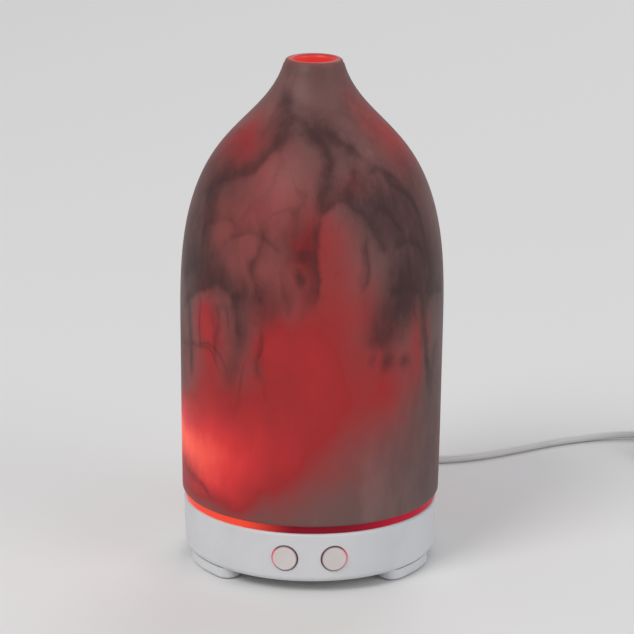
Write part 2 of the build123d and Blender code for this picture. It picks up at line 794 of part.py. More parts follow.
blade_reach = fan_bore_radius - blade_clearance - hub_radius
with BuildPart() as fan_rotor:
    with Locations((0, fan_y, rotor_foot)):
        Cylinder(hub_radius, rotor_height, align=(Align.CENTER, Align.CENTER, Align.MIN))
    fillet(fan_rotor.edges().group_by(Axis.Z)[-1], hub_rounding)
    with Locations((0, fan_y, rotor_foot + rotor_height / 2)):
        with PolarLocations(hub_radius + blade_reach / 2 - blade_root, fan_blades):
            Box(
                blade_reach + 2 * blade_root,
                blade_thickness,
                rotor_height * blade_height_share,
                rotation=(blade_tilt, 0, 0),
            )
    with Locations((0, fan_y, rotor_foot)):
        Cylinder(
            pin_radius + running,
            rotor_bore,
            align=(Align.CENTER, Align.CENTER, Align.MIN),
            mode=Mode.SUBTRACT,
        )
save(fan_rotor, "fan_rotor")

duct_neck = fan_top + duct_rise
with BuildPart() as air_duct:
    with BuildSketch(Plane.XY.offset(fan_top)):
        with Locations((0, fan_y)):
            RectangleRounded(fan_size, fan_size, fan_hole_inset)
    with BuildSketch(Plane.XY.offset(duct_neck)):
        with Locations((0, tower_y)):
            Circle(duct_radius)
    loft()
    with BuildSketch(Plane.XY.offset(duct_neck)):
        with Locations((0, tower_y)):
            Circle(duct_radius)
    extrude(amount=tank_floor_height - slip - duct_neck)
    with BuildSketch(Plane.XY.offset(fan_top)):
        with Locations((0, fan_y)):
            Circle(fan_bore_radius)
    with BuildSketch(Plane.XY.offset(duct_neck)):
        with Locations((0, tower_y)):
            Circle(duct_inner)
    loft(mode=Mode.SUBTRACT)
    with BuildSketch(Plane.XY.offset(duct_neck)):
        with Locations((0, tower_y)):
            Circle(duct_inner)
    extrude(amount=tank_floor_height - slip - duct_neck, mode=Mode.SUBTRACT)
save(air_duct, "air_duct")

# ---------------------------------------------------------------- buttons
for name, angle in button_angles.items():
    wall = base_foot_radius + base_taper * (button_z - foot_height) / base_height
    flange_face = sqrt(base_inner**2 - (button_radius + button_flange_width) ** 2) - slip / 2
    with BuildPart() as button:
        with BuildSketch(outwards(angle, button_z).offset(flange_face - button_flange)):
            Circle(button_radius + button_flange_width)
        extrude(amount=button_flange)
        with BuildSketch(outwards(angle, button_z).offset(flange_face - button_flange)):
            Circle(button_radius)
        extrude(amount=wall + button_proud - flange_face + button_flange)
        with BuildSketch(outwards(angle, button_z).offset(flange_face - button_flange)):
            Circle(button_stem_radius)
        extrude(amount=stem_end + button_travel + press_gap - flange_face + button_flange)
        face_edge = button.edges().filter_by(GeomType.CIRCLE).sort_by(
            lambda edge, face=outwards(angle, button_z): face.to_local_coords(edge.center()).Z
        )[-1]
        fillet(face_edge, button_edge)
    save(button, name)

# ---------------------------------------------------------------- power socket and plug
back = outwards(90, socket_z)
socket_mouth = base_foot_radius + base_taper * (socket_z - foot_height) / base_height
with BuildPart() as dc_socket:
    with BuildSketch(back.offset(socket_back)):
        Rectangle(socket_width, socket_height)
    extrude(amount=socket_depth)
    with BuildSketch(back.offset(socket_front)):
        Circle(socket_nose)
    extrude(amount=socket_mouth - socket_front)
    with BuildSketch(back.offset(socket_mouth)):
        Circle(socket_bore)
    extrude(amount=-socket_bore_depth, mode=Mode.SUBTRACT)
    with BuildSketch(back.offset(socket_mouth - socket_bore_depth)):
        Circle(pin_radius)
    extrude(amount=socket_bore_depth - pin_setback)
save(dc_socket, "dc_socket")

plug_start = socket_mouth + slip
with BuildPart() as dc_plug:
    with BuildSketch(back.offset(plug_start)):
        Circle(plug_radius)
    extrude(amount=plug_length)
    fillet(dc_plug.edges().filter_by(GeomType.CIRCLE), plug_rounding)
    with BuildSketch(back.offset(plug_start - barrel_length)):
        Circle(barrel_radius)
    extrude(amount=barrel_length + plug_rounding)
    with BuildSketch(back.offset(plug_start - barrel_length)):
        Circle(barrel_hole)
    extrude(amount=barrel_length, mode=Mode.SUBTRACT)
save(dc_plug, "dc_plug")

relief_start = plug_start + plug_length
with BuildPart() as plug_relief:
    with BuildSketch(back.offset(relief_start)):
        Circle(relief_radius)
    with BuildSketch(back.offset(relief_start + relief_length)):
        Circle(cord_radius + relief_lip)
    loft()
save(plug_relief, "plug_relief")

# ---------------------------------------------------------------- lead
cord_start = relief_start + relief_length
coil_top_run = coil_middle_radius + (coil_columns - 1) * cord_radius
coil_foot = tie_thickness
coil_low = coil_foot + cord_radius
coil_width = 2 * coil_columns * cord_radius
coil_height = 2 * coil_layers * cord_radius
coil_high = coil_foot + coil_height - cord_radius
cord_route = [
    (0, cord_start, socket_z),
    (0, cord_start + 7, socket_z),
    (1.6, cord_start + 15, 8),
    (7, cord_start + 22.5, 4.2),
    (16, cord_start + 27, 2),
    (28, 98.6, cord_radius),
    (41, 96, cord_radius),
    (54, 97.2, cord_radius),
    (67, 102.5, cord_radius),
    (79.5, 110, cord_radius),
    (92, 118.2, cord_radius),
    (105, 124.4, cord_radius),
    (119, coil_centre[1] + coil_top_run, coil_low),
    (coil_centre[0] - coil_lead_in, coil_centre[1] + coil_top_run, coil_low),
]
power_cord = tube(cord_route, cord_radius)
save(power_cord, "power_cord")

with BuildPart() as cord_coil:
    with BuildSketch(Plane.XZ.offset(-coil_centre[1])):
        with Locations((coil_centre[0] + coil_middle_radius, coil_foot + coil_height / 2)):
            RectangleRounded(coil_width, coil_height, cord_radius * 0.98)
    revolve(axis=Axis((*coil_centre, 0), (0, 0, 1)))
    with BuildSketch(Plane.YZ.offset(coil_centre[0] - coil_lead_in)):
        with Locations((coil_centre[1] + coil_top_run, coil_low)):
            Circle(cord_radius)
    extrude(amount=coil_lead_in)
    with BuildSketch(Plane.XZ.offset(coil_lead_in - coil_centre[1])):
        with Locations((coil_centre[0] + coil_top_run, coil_high)):
            Circle(cord_radius)
    extrude(amount=-coil_lead_in)
save(cord_coil, "cord_coil")

with BuildPart() as coil_tie:
    with BuildSketch(Plane.XZ.offset(-coil_centre[1] - tie_width / 2)):
        with Locations((coil_centre[0] - coil_middle_radius, coil_foot + coil_height / 2)):
            RectangleRounded(
                coil_width + 2 * tie_gap + 2 * tie_thickness, coil_height + 2 * tie_thickness, cord_radius
            )
            RectangleRounded(coil_width + 2 * tie_gap, coil_height, cord_radius * 0.6, mode=Mode.SUBTRACT)
    extrude(amount=tie_width)
save(coil_tie, "coil_tie")

tail_x = coil_centre[0] + coil_top_run
tail_y = coil_centre[1] - coil_lead_in
usb_z = usb_body[2] / 2
tail_end = tail_y - tail_straight - tail_drop - tail_straight
cord_tail = tube(
    [
        (tail_x, tail_y, coil_high),
        (tail_x, tail_y - tail_straight, coil_high),
        (tail_x, tail_end + tail_straight, usb_z),
        (tail_x, tail_end, usb_z),
    ],
    cord_radius,
)
save(cord_tail, "cord_tail")

with BuildPart() as usb_relief:
    with BuildSketch(Plane.XZ.offset(-tail_end)):
        with Locations((tail_x, usb_z)):
            Circle(cord_radius + relief_lip)
    with BuildSketch(Plane.XZ.offset(usb_relief_length - tail_end)):
        with Locations((tail_x, usb_z)):
            Circle(relief_radius)
    loft()
save(usb_relief, "usb_relief")

usb_start = tail_end - usb_relief_length
with BuildPart() as usb_plug:
    with Locations((tail_x, usb_start, usb_z)):
        Box(*usb_body, align=(Align.CENTER, Align.MAX, Align.CENTER))
    fillet(usb_plug.edges().filter_by(Axis.Y), usb_body_rounding)
    fillet(usb_plug.faces().sort_by(Axis.Y)[-1].edges(), usb_body_rounding * 0.6)
save(usb_plug, "usb_plug")

shell_start = usb_start - usb_body[1]
with BuildPart() as usb_shell:
    with Locations((tail_x, shell_start, usb_z)):
        Box(*usb_shell_size, align=(Align.CENTER, Align.MAX, Align.CENTER))
        Box(
            usb_shell_size[0] - 2 * usb_shell_wall,
            usb_shell_size[1],
            usb_shell_size[2] - 2 * usb_shell_wall,
            align=(Align.CENTER, Align.MAX, Align.CENTER),
            mode=Mode.SUBTRACT,
        )
save(usb_shell, "usb_shell")

tongue_z = usb_z + (usb_shell_size[2] - usb_tongue_size[2]) / 2 - usb_shell_wall
with BuildPart() as usb_tongue:
    with Locations((tail_x, shell_start, tongue_z)):
        Box(*usb_tongue_size, align=(Align.CENTER, Align.MAX, Align.CENTER))
save(usb_tongue, "usb_tongue")

# ---------------------------------------------------------------- leads inside the base
frame_front = fan_y - fan_size / 2
wire_level = board_top + 3.5
leads = {
    "disc_lead": [(3, 0.5, disc_foot), (3, 0.5, 21), (5, -4.5, 15), (5, -4.5, board_top)],
    "led_lead": [(-20, -7, led_board_foot), (-20, -7, 19), (-17, -11.5, 14.5), (-17, -11.5, board_top)],
    "fan_lead": [
        (-9, frame_front, fan_top - 1.2),
        (-9, frame_front - 4, fan_top - 1.2),
        (-9, frame_front - 4, board_top),
    ],
    "socket_lead": [
        (socket_width / 2, socket_back + 4, 9.5),
        (socket_width / 2 + 8, socket_back + 4, 9.5),
        (18, socket_back - 3, 9.5),
        (18, 9, 12),
        (18, -1, wire_level),
        (18, -5, wire_level),
        (18, -5, board_top),
    ],
}
for name, points in leads.items():
    save(tube(points, wire_radius), name)

os.makedirs("parts", exist_ok=True)
for name, part in written.items():
    export_step(part, f"parts/{name}.step")
    print(f"{name}: {len(part.solids())} solid(s), {part.volume:.0f} mm3")

print("bends of the cord:", [round(radius, 1) for radius in bend_radii(cord_route)])
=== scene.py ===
import math

import bmesh
import bpy
import numpy as np
from mathutils import Matrix, Vector


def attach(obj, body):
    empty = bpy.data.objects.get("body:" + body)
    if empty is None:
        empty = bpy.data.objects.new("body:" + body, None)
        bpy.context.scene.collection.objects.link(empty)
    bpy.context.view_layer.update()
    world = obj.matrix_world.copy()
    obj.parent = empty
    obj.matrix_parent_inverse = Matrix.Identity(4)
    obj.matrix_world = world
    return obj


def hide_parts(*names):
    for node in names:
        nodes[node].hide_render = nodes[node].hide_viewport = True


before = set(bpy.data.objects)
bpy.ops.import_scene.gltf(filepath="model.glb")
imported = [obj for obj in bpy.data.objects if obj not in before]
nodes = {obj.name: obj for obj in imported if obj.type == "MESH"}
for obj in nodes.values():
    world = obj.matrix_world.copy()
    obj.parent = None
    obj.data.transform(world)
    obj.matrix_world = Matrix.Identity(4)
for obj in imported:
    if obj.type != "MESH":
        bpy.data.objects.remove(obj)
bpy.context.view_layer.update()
mm = 0.001
print("frame loaded:", len(nodes), "nodes")


def placed(name, data):
    thing = bpy.data.objects.new(name, data)
    bpy.context.collection.objects.link(thing)
    return thing


# The view: a metre off, a little above and looking down.
cameraView = {
    "place": (0.00179, -0.99606, 0.36691),
    "tiltDown": 15.811,
    "roll": 0.534,
    "lens": 171.44,
}
cameraData = bpy.data.cameras.new("studioCamera")
cameraData.lens = cameraView["lens"]
cameraData.sensor_width = 36
cameraData.clip_end = 40
cameraData.dof.use_dof = False
camera = placed("studioCamera", cameraData)
lookDown = Matrix.Rotation(math.radians(90 - cameraView["tiltDown"]), 4, "X")
lean = Matrix.Rotation(math.radians(cameraView["roll"]), 4, "Z")
camera.matrix_world = Matrix.Translation(cameraView["place"]) @ lookDown @ lean
bpy.context.scene.camera = camera


# 8-bit screen colour to linear.
def screenColour(red, green, blue):
    linear = []
    for value in (red, green, blue):
        share = value / 255
        linear.append(share / 12.92 if share <= 0.04045 else ((share + 0.055) / 1.055) ** 2.4)
    return (*linear, 1.0)


def addPiece(name, mesh, body, replaced=()):
    piece = placed(name, mesh)
    if replaced:
        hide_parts(*replaced)
    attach(piece, body)
    return piece


def giveMaterial(piece, material):
    piece.data.materials.clear()
    piece.data.materials.append(material)


# The evaluated object as a plain mesh; the source object goes.
def bakedMesh(source, name):
    graph = bpy.context.evaluated_depsgraph_get()
    mesh = bpy.data.meshes.new_from_object(source.evaluated_get(graph), depsgraph=graph)
    mesh.name = name
    bpy.data.objects.remove(source)
    return mesh


# Short calls for laying out a node tree.
class Tree:

    def __init__(self, tree):
        self.tree = tree

    def add(self, kind, **settings):
        node = self.tree.nodes.new(kind)
        for key, value in settings.items():
            setattr(node, key, value)
        return node

    def put(self, socket, value):
        if hasattr(value, "is_output"):
            self.tree.links.new(value, socket)
        else:
            socket.default_value = value

    def fill(self, node, values):
        for label, value in values.items():
            self.put(node.inputs[label], value)
        return node

    def make(self, kind, values, **settings):
        return self.fill(self.add(kind, **settings), values)

    def group(self, group, values):
        return self.make("ShaderNodeGroup", values, node_tree=group).outputs

    def math(self, operation, first, second=None, third=None, clamp=False):
        node = self.add("ShaderNodeMath", operation=operation, use_clamp=clamp)
        for index, value in enumerate((first, second, third)):
            if value is not None:
                self.put(node.inputs[index], value)
        return node.outputs[0]

    def plus(self, first, second):
        return self.math("ADD", first, second)

    def minus(self, first, second):
        return self.math("SUBTRACT", first, second)

    def times(self, first, second):
        return self.math("MULTIPLY", first, second)

    def mix(self, factor, first, second):
        node = self.add("ShaderNodeMix", data_type="RGBA")
        for index, value in ((0, factor), (6, first), (7, second)):
            self.put(node.inputs[index], value)
        return node.outputs[2]

    def spread(self, value, fromLow, fromHigh, toLow=0.0, toHigh=1.0, smooth=True):
        node = self.add("ShaderNodeMapRange", interpolation_type="SMOOTHSTEP" if smooth else "LINEAR")
        for index, number in enumerate((value, fromLow, fromHigh, toLow, toHigh)):
            self.put(node.inputs[index], number)
        return node.outputs[0]

    def noise(self, vector, scale, detail, rough, seed, output="Fac"):
        values = {"Vector": vector, "W": seed, "Scale": scale, "Detail": detail, "Roughness": rough}
        return self.make("ShaderNodeTexNoise", values, noise_dimensions="4D").outputs[output]

    def objectPlace(self):
        return self.add("ShaderNodeTexCoord").outputs["Object"]

    def stretched(self, place, scale):
        return self.make("ShaderNodeMapping", {"Scale": scale, "Vector": place}).outputs[0]

    def scaled(self, vector, amount):
        node = self.add("ShaderNodeVectorMath", operation="SCALE")
        self.put(node.inputs[0], vector)
        self.put(node.inputs["Scale"], amount)
        return node.outputs[0]

    def bump(self, shader, strength, distance, height):
        relief = self.make("ShaderNodeBump", {"Strength": strength, "Distance": distance, "Height": height})
        self.put(shader.inputs["Normal"], relief.outputs[0])

    def glow(self, shader, colour, amount=None):
        light = colour if amount is None else self.scaled(colour, amount)
        self.fill(shader, {"Emission Color": light, "Emission Strength": 1.0})


# A socket's kind follows its default value; a material socket has none.
def socketKind(default):
    if isinstance(default, tuple):
        return "NodeSocketVector" if len(default) == 3 else "NodeSocketColor"
    return {int: "NodeSocketInt", float: "NodeSocketFloat"}.get(type(default), "NodeSocketMaterial")


def newGroup(name, inputs, outputs, family="Shader"):
    group = bpy.data.node_groups.new(name, family + "NodeTree")
    if family == "Geometry":
        group.is_modifier = True
        group.interface.new_socket("Geometry", in_out="INPUT", socket_type="NodeSocketGeometry")
    for label, default in inputs.items():
        socket = group.interface.new_socket(label, in_out="INPUT", socket_type=socketKind(default))
        if default is not None:
            socket.default_value = default
    for label, kind in outputs.items():
        group.interface.new_socket(label, in_out="OUTPUT", socket_type="NodeSocket" + kind)
    tree = Tree(group)
    return group, tree, tree.add("NodeGroupInput").outputs, tree.add("NodeGroupOutput").inputs


# Fine moulded grain: colour drift, roughness drift and a bump height, on Object coordinates.
def makeMouldGrain():
    group, tree, given, result = newGroup(
        "mouldGrain",
        {"Colour": (0.8, 0.8, 0.8, 1), "Roughness": 0.4, "Grain Size": 1.0, "Dust": 0.1, "Seed": 0.0},
        {"Colour": "Color", "Roughness": "Float", "Height": "Float"},
    )
    place = tree.objectPlace()
    fineScale = tree.math("DIVIDE", 2600.0, given["Grain Size"])
    fine = tree.noise(place, fineScale, 2.0, 0.6, given["Seed"])
    broad = tree.noise(place, 45.0, 4.0, 0.55, given["Seed"])
    shaded = tree.scaled(given["Colour"], tree.spread(broad, 0.3, 0.7, 0.94, 1.04))
    dustShare = tree.times(tree.spread(broad, 0.5, 0.75), given["Dust"])
    tree.put(result["Colour"], tree.mix(dustShare, shaded, (0.42, 0.40, 0.38, 1)))
    rougher = tree.math("MULTIPLY_ADD", tree.minus(fine, 0.5), 0.18, given["Roughness"])
    tree.put(result["Roughness"], tree.math("MULTIPLY_ADD", dustShare, 0.3, rougher, clamp=True))
    tree.put(result["Height"], fine)
    return group


# Where a point lies on a body of revolution: degrees from the front, millimetres up, radius.
def makeSurfaceMap():
    group, tree, given, result = newGroup(
        "surfaceMap",
        {"Drift": 3.0, "Fray": 0.8},
        {"Angle": "Float", "Height": "Float", "Radius": "Float", "True Height": "Float"},
    )
    place = tree.objectPlace()
    parts = tree.make("ShaderNodeSeparateXYZ", {"Vector": place}).outputs
    across = tree.times(parts["X"], 1000.0)
    deep = tree.times(parts["Y"], -1000.0)
    height = tree.times(parts["Z"], 1000.0)
    radius = tree.math("SQRT", tree.plus(tree.math("POWER", across, 2.0), tree.math("POWER", deep, 2.0)))
    radius = tree.math("MAXIMUM", radius, 1.0)
    angle = tree.times(tree.math("ARCTAN2", across, deep), 180 / math.pi)
    broad = tree.add("ShaderNodeSeparateColor")
    tree.put(broad.inputs[0], tree.noise(place, 75.0, 2.0, 0.5, 3.1, "Color"))
    fine = tree.add("ShaderNodeSeparateColor")
    tree.put(fine.inputs[0], tree.noise(place, 330.0, 3.0, 0.6, 7.7, "Color"))

    def pushed(value, channel, share):
        slow = tree.times(tree.minus(broad.outputs[channel], 0.5), given["Drift"])
        quick = tree.times(tree.minus(fine.outputs[channel], 0.5), given["Fray"])
        return tree.math("MULTIPLY_ADD", tree.plus(slow, quick), share, value)

    degreesPerMm = tree.math("DIVIDE", 180 / math.pi, radius)
    tree.put(result["Angle"], pushed(angle, 0, degreesPerMm))
    tree.put(result["Height"], pushed(height, 1, 1.0))
    tree.put(result["Radius"], radius)
    tree.put(result["True Height"], height)
    return group


# One wisp: dark along its line, with its own softness on each side, fading at both ends.
def makeSmokeLine():
    group, tree, given, result = newGroup(
        "smokeLine",
        {"Distance": 0.0, "Along": 0.0, "Start": 0.0, "End": 1.0, "Fade": 4.0, "Low Side": 2.0,
         "High Side": 2.0, "Strength": 0.5},
        {"Mask": "Float"},
    )
    width = tree.add("ShaderNodeMix", data_type="FLOAT")
    tree.put(width.inputs[0], tree.math("GREATER_THAN", given["Distance"], 0.0))
    tree.put(width.inputs[2], given["Low Side"])
    tree.put(width.inputs[3], given["High Side"])
    share = tree.math("DIVIDE", given["Distance"], width.outputs[0])
    falling = tree.times(tree.math("POWER", tree.math("ABSOLUTE", share), 1.5), -1.0)
    body = tree.math("EXPONENT", falling)
    opened = tree.plus(given["Start"], given["Fade"])
    closed = tree.minus(given["End"], given["Fade"])
    begun = tree.spread(given["Along"], given["Start"], opened)
    ended = tree.spread(given["Along"], closed, given["End"], 1.0, 0.0)
    mask = tree.times(tree.times(body, begun), ended)
    tree.put(result["Mask"], tree.times(mask, given["Strength"]))
    return group


# A soft oval of light or smoke about one spot on the surface.
def makeLightPool():
    group, tree, given, result = newGroup(
        "lightPool",
        {"Angle": 0.0, "Height": 0.0, "Spot Angle": 0.0, "Spot Height": 0.0, "Angle Reach": 30.0,
         "Height Reach": 20.0, "Strength": 0.5},
        {"Light": "Float"},
    )
    turned = tree.minus(given["Angle"], given["Spot Angle"])
    turned = tree.math("WRAP", turned, 180.0, -180.0)
    turned = tree.math("DIVIDE", turned, given["Angle Reach"])
    raised = tree.minus(given["Height"], given["Spot Height"])
    raised = tree.math("DIVIDE", raised, given["Height Reach"])
    square = tree.plus(tree.times(turned, turned), tree.times(raised, raised))
    light = tree.math("EXPONENT", tree.times(square, -1.0))
    tree.put(result["Light"], tree.times(light, given["Strength"]))
    return group


mouldGrain = makeMouldGrain()
surfaceMap = makeSurfaceMap()
smokeLine = makeSmokeLine()
lightPool = makeLightPool()
print("shader groups made")


def newMaterial(name):
    material = bpy.data.materials.new(name)
    material.use_nodes = True
    tree = Tree(material.node_tree)
    return material, tree, material.node_tree.nodes["Principled BSDF"]


# A moulded finish: drifting colour and roughness over a fine grain.
def mouldedPlastic(name, colour, roughness, grain, bump, dust, seed, sockets=None):
    material, tree, shader = newMaterial(name)
    values = {"Colour": colour, "Roughness": roughness, "Grain Size": grain, "Dust": dust, "Seed": seed}
    finish = tree.group(mouldGrain, values)
    tree.fill(shader, {"Base Color": finish["Colour"], "Roughness": finish["Roughness"]})
    tree.bump(shader, bump, 0.0001, finish["Height"])
    tree.fill(shader, sockets or {})
    return material


stage = {
    "floorHalf": 5.0,
    "floorColour": screenColour(232, 231, 229),
    "worldColour": (0.93, 0.95, 1.0, 1),
    "worldStrength": 0.48,
    "lampAim": (0, 0, 0.08),
    "lamps": [  # name, place, size, watts, colour
        ("keyLamp", (-1.1, -1.3, 1.7), 1.1, 23, (1.0, 0.98, 0.96)),
        ("fillLamp", (1.6, -1.1, 1.0), 1.3, 8, (0.96, 0.98, 1.0)),
        ("backLamp", (0.5, 1.6, 1.5), 1.2, 8, (1.0, 1.0, 1.0)),
    ],
}
half = stage["floorHalf"]
floorMesh = bpy.data.meshes.new("studioFloor")
floorCorners = [(-half, -half, 0), (half, -half, 0), (half, half, 0), (-half, half, 0)]
floorMesh.from_pydata(floorCorners, [], [(0, 1, 2, 3)])
floor = placed("studioFloor", floorMesh)
floorMaterial, floorTree, floorShader = newMaterial("studioFloor")
floorLooks = {"Base Color": stage["floorColour"], "Roughness": 0.75, "Specular IOR Level": 0.2}
floorTree.fill(floorShader, floorLooks)
giveMaterial(floor, floorMaterial)
for name, place, size, watts, colour in stage["lamps"]:
    lampData = bpy.data.lights.new(name, "AREA")
    lampData.shape = "DISK"
    lampData.size = size
    lampData.energy = watts
    lampData.color = colour
    lamp = placed(name, lampData)
    aim = Vector(stage["lampAim"]) - Vector(place)
    lamp.matrix_world = Matrix.Translation(place) @ aim.to_track_quat("-Z", "Y").to_matrix().to_4x4()
world = bpy.data.worlds.new("softStudio")
bpy.context.scene.world = world
world.use_nodes = True
world.node_tree.nodes["Background"].inputs[0].default_value = stage["worldColour"]
world.node_tree.nodes["Background"].inputs[1].default_value = stage["worldStrength"]
bpy.context.scene.view_settings.view_transform = "Standard"
print("stage and lamps set")


# The lead: out of the plug, along the floor, round the coil and on to the USB plug.
lead = {
    "thickness": 3.0,
    "route": [
        (0, 71.843, 11.1), (0, 78.843, 11.1), (1.6, 86.843, 8), (7, 94.343, 4.2), (16, 98.843, 2),
        (28, 98.6, 1.5), (41, 96, 1.5), (54, 97.2, 1.5), (67, 102.5, 1.5), (79.5, 110, 1.5),
        (92, 118.2, 1.5), (105, 124.4, 1.5), (119, 128, 2.1), (132, 128, 2.1),
    ],
    "coilCentre": (150, 108),
    "coilRadii": (20, 17, 14),
    "coilLayers": (2.1, 5.1, 8.1, 11.1),
    "pointsPerTurn": 16,
    "crossover": 60,  # degrees at the end of a turn that lead on to the next one
    "coilExit": (170, 108, 11.1),
    "tail": [(170, 90, 11.1), (170, 78, 11.1), (170, 54, 4), (170, 42, 4)],
}


# Layered turns, wound from the outside in and back out again, one layer after another.
def coilPoints():
    points = []
    columns = lead["coilRadii"]
    step = 360 / lead["pointsPerTurn"]
    turns = []
    for layer, height in enumerate(lead["coilLayers"]):
        for radius in columns if layer % 2 == 0 else columns[::-1]:
            turns.append((radius, height))
    for index, (radius, height) in enumerate(turns):
        nextRadius, nextHeight = turns[min(index + 1, len(turns) - 1)]
        last = index == len(turns) - 1
        for count in range(lead["pointsPerTurn"]):
            angle = 90 - count * step
            if last and angle < 0.1:
                return points  # the last turn leaves at the right, a quarter of the way round
            share = max(0.0, (count * step - (360 - lead["crossover"])) / lead["crossover"])
            reach = radius + (nextRadius - radius) * share
            level = height + (nextHeight - height) * share
            across = lead["coilCentre"][0] + reach * math.cos(math.radians(angle))
            deep = lead["coilCentre"][1] + reach * math.sin(math.radians(angle))
            points.append((across, deep, level))


cordPoints = lead["route"] + coilPoints() + [lead["coilExit"]] + lead["tail"]
cordCurve = bpy.data.curves.new("powerLead", "CURVE")
cordCurve.dimensions = "3D"
cordCurve.bevel_depth = lead["thickness"] / 2 * mm
cordCurve.bevel_resolution = 5
cordCurve.use_fill_caps = True
cordCurve.resolution_u = 8
spline = cordCurve.splines.new("NURBS")
spline.points.add(len(cordPoints) - 1)
for point, place in zip(spline.points, cordPoints):
    point.co = (place[0] * mm, place[1] * mm, place[2] * mm, 1)
spline.order_u = 3
spline.use_endpoint_u = True
cord = placed("powerLead", cordCurve)
cordCoat = {"Coat Weight": 0.1}
cordWhite = mouldedPlastic("cordWhite", screenColour(214, 214, 213), 0.38, 1.6, 0.06, 0.05, 4.0, cordCoat)
cordCurve.materials.append(cordWhite)
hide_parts("power_cord", "cord_coil", "cord_tail")
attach(cord, "root")
# Millimetres throughout; the first four hold the inputs of their node groups.
leadPieces = {
    "plugRelief": {"Length": 14.0, "Foot Radius": 3.0, "End Radius": 2.0, "Ribs": 7, "Groove": 0.34,
                   "Place": (0, 57.84, 11.1), "Turn": -90.0},
    "usbRelief": {"Length": 12.0, "Foot Radius": 3.0, "End Radius": 2.0, "Ribs": 6, "Groove": 0.34,
                  "Place": (170, 30, 4), "Turn": -90.0},
    "plugFlutes": {"Count": 22, "Bar Size": (0.5, 8.4, 0.34), "Circle Radius": 4.3, "Place": (0, 51.4, 11.1)},
    "usbGrip": {"Count": 6, "Bar Size": (7.6, 0.7, 0.4), "Pitch": 1.7, "Place": (170, 12.4, 8.0)},
    "shell": {"middle": (170, 4), "start": 6.0, "size": (12.0, 18.5, 4.5), "wall": 0.35,
              "corner": 0.6, "innerCorner": 0.3},
    "windows": {"size": (2.3, 2.1, 12), "places": ((-2.6, -7.2), (2.6, -7.2))},
    "tie": {"left": 128.75, "right": 138.0, "low": 0.46, "high": 12.7, "corner": 1.3, "thickness": 0.46,
            "width": 5.0, "y": 108.0, "softness": 0.1},
    "tieLap": {"rise": 0.04, "shift": 0.6, "shorter": 2.4, "narrower": 0.3},
}


def setInputs(modifier, values):
    for item in modifier.node_group.interface.items_tree:
        if item.in_out == "INPUT" and item.name in values:
            modifier[item.identifier] = values[item.name]


def grownMesh(name, group, values):
    holder = placed(name, bpy.data.meshes.new(name))
    modifier = holder.modifiers.new(name, "NODES")
    modifier.node_group = group
    setInputs(modifier, values)
    return bakedMesh(holder, name)


def endTree(tree, given, result, geometry):
    whole = tree.make("GeometryNodeRealizeInstances", {"Geometry": geometry})
    material = {"Geometry": whole.outputs[0], "Material": given["Material"]}
    coloured = tree.make("GeometryNodeSetMaterial", material)
    tree.put(result["Geometry"], coloured.outputs[0])


def makeRibbedRelief():
    group, tree, given, result = newGroup(
        "ribbedRelief",
        {"Length": 14.0, "Foot Radius": 3.0, "End Radius": 2.0, "Ribs": 6, "Groove": 0.3,
         "Place": (0, 0, 0), "Turn": -90.0, "Material": None},
        {"Geometry": "Geometry"}, "Geometry",
    )
    size = {"Vertices": 40, "Side Segments": 96, "Radius": 1.0, "Depth": 1.0}
    sleeve = tree.make("GeometryNodeMeshCylinder", size, fill_type="TRIANGLE_FAN")
    position = tree.add("GeometryNodeInputPosition").outputs[0]
    place = tree.make("ShaderNodeSeparateXYZ", {"Vector": position}).outputs
    share = tree.plus(place["Z"], 0.5)
    narrowing = tree.minus(given["End Radius"], given["Foot Radius"])
    cone = tree.math("MULTIPLY_ADD", share, narrowing, given["Foot Radius"])
    phase = tree.math("FRACT", tree.times(share, given["Ribs"]))
    notch = tree.spread(tree.math("ABSOLUTE", tree.minus(phase, 0.5)), 0.10, 0.26, 1.0, 0.0)
    inside = tree.times(tree.spread(share, 0.04, 0.08), tree.spread(share, 0.93, 0.97, 1.0, 0.0))
    cut = tree.times(tree.times(notch, inside), given["Groove"])
    radius = tree.times(tree.minus(cone, cut), mm)
    moved = tree.make("ShaderNodeCombineXYZ", {
        "X": tree.times(place["X"], radius),
        "Y": tree.times(place["Y"], radius),
        "Z": tree.times(share, tree.times(given["Length"], mm)),
    })
    shift = {"Geometry": sleeve.outputs["Mesh"], "Position": moved.outputs[0]}
    shaped = tree.make("GeometryNodeSetPosition", shift)
    smooth = tree.make("GeometryNodeSetShadeSmooth", {"Geometry": shaped.outputs[0]})
    turn = tree.make("ShaderNodeCombineXYZ", {"X": tree.math("RADIANS", given["Turn"])})
    laid = tree.make("GeometryNodeTransform", {
        "Geometry": smooth.outputs[0], "Rotation": turn.outputs[0], "Translation": given["Place"],
    })
    endTree(tree, given, result, laid.outputs[0])
    return group


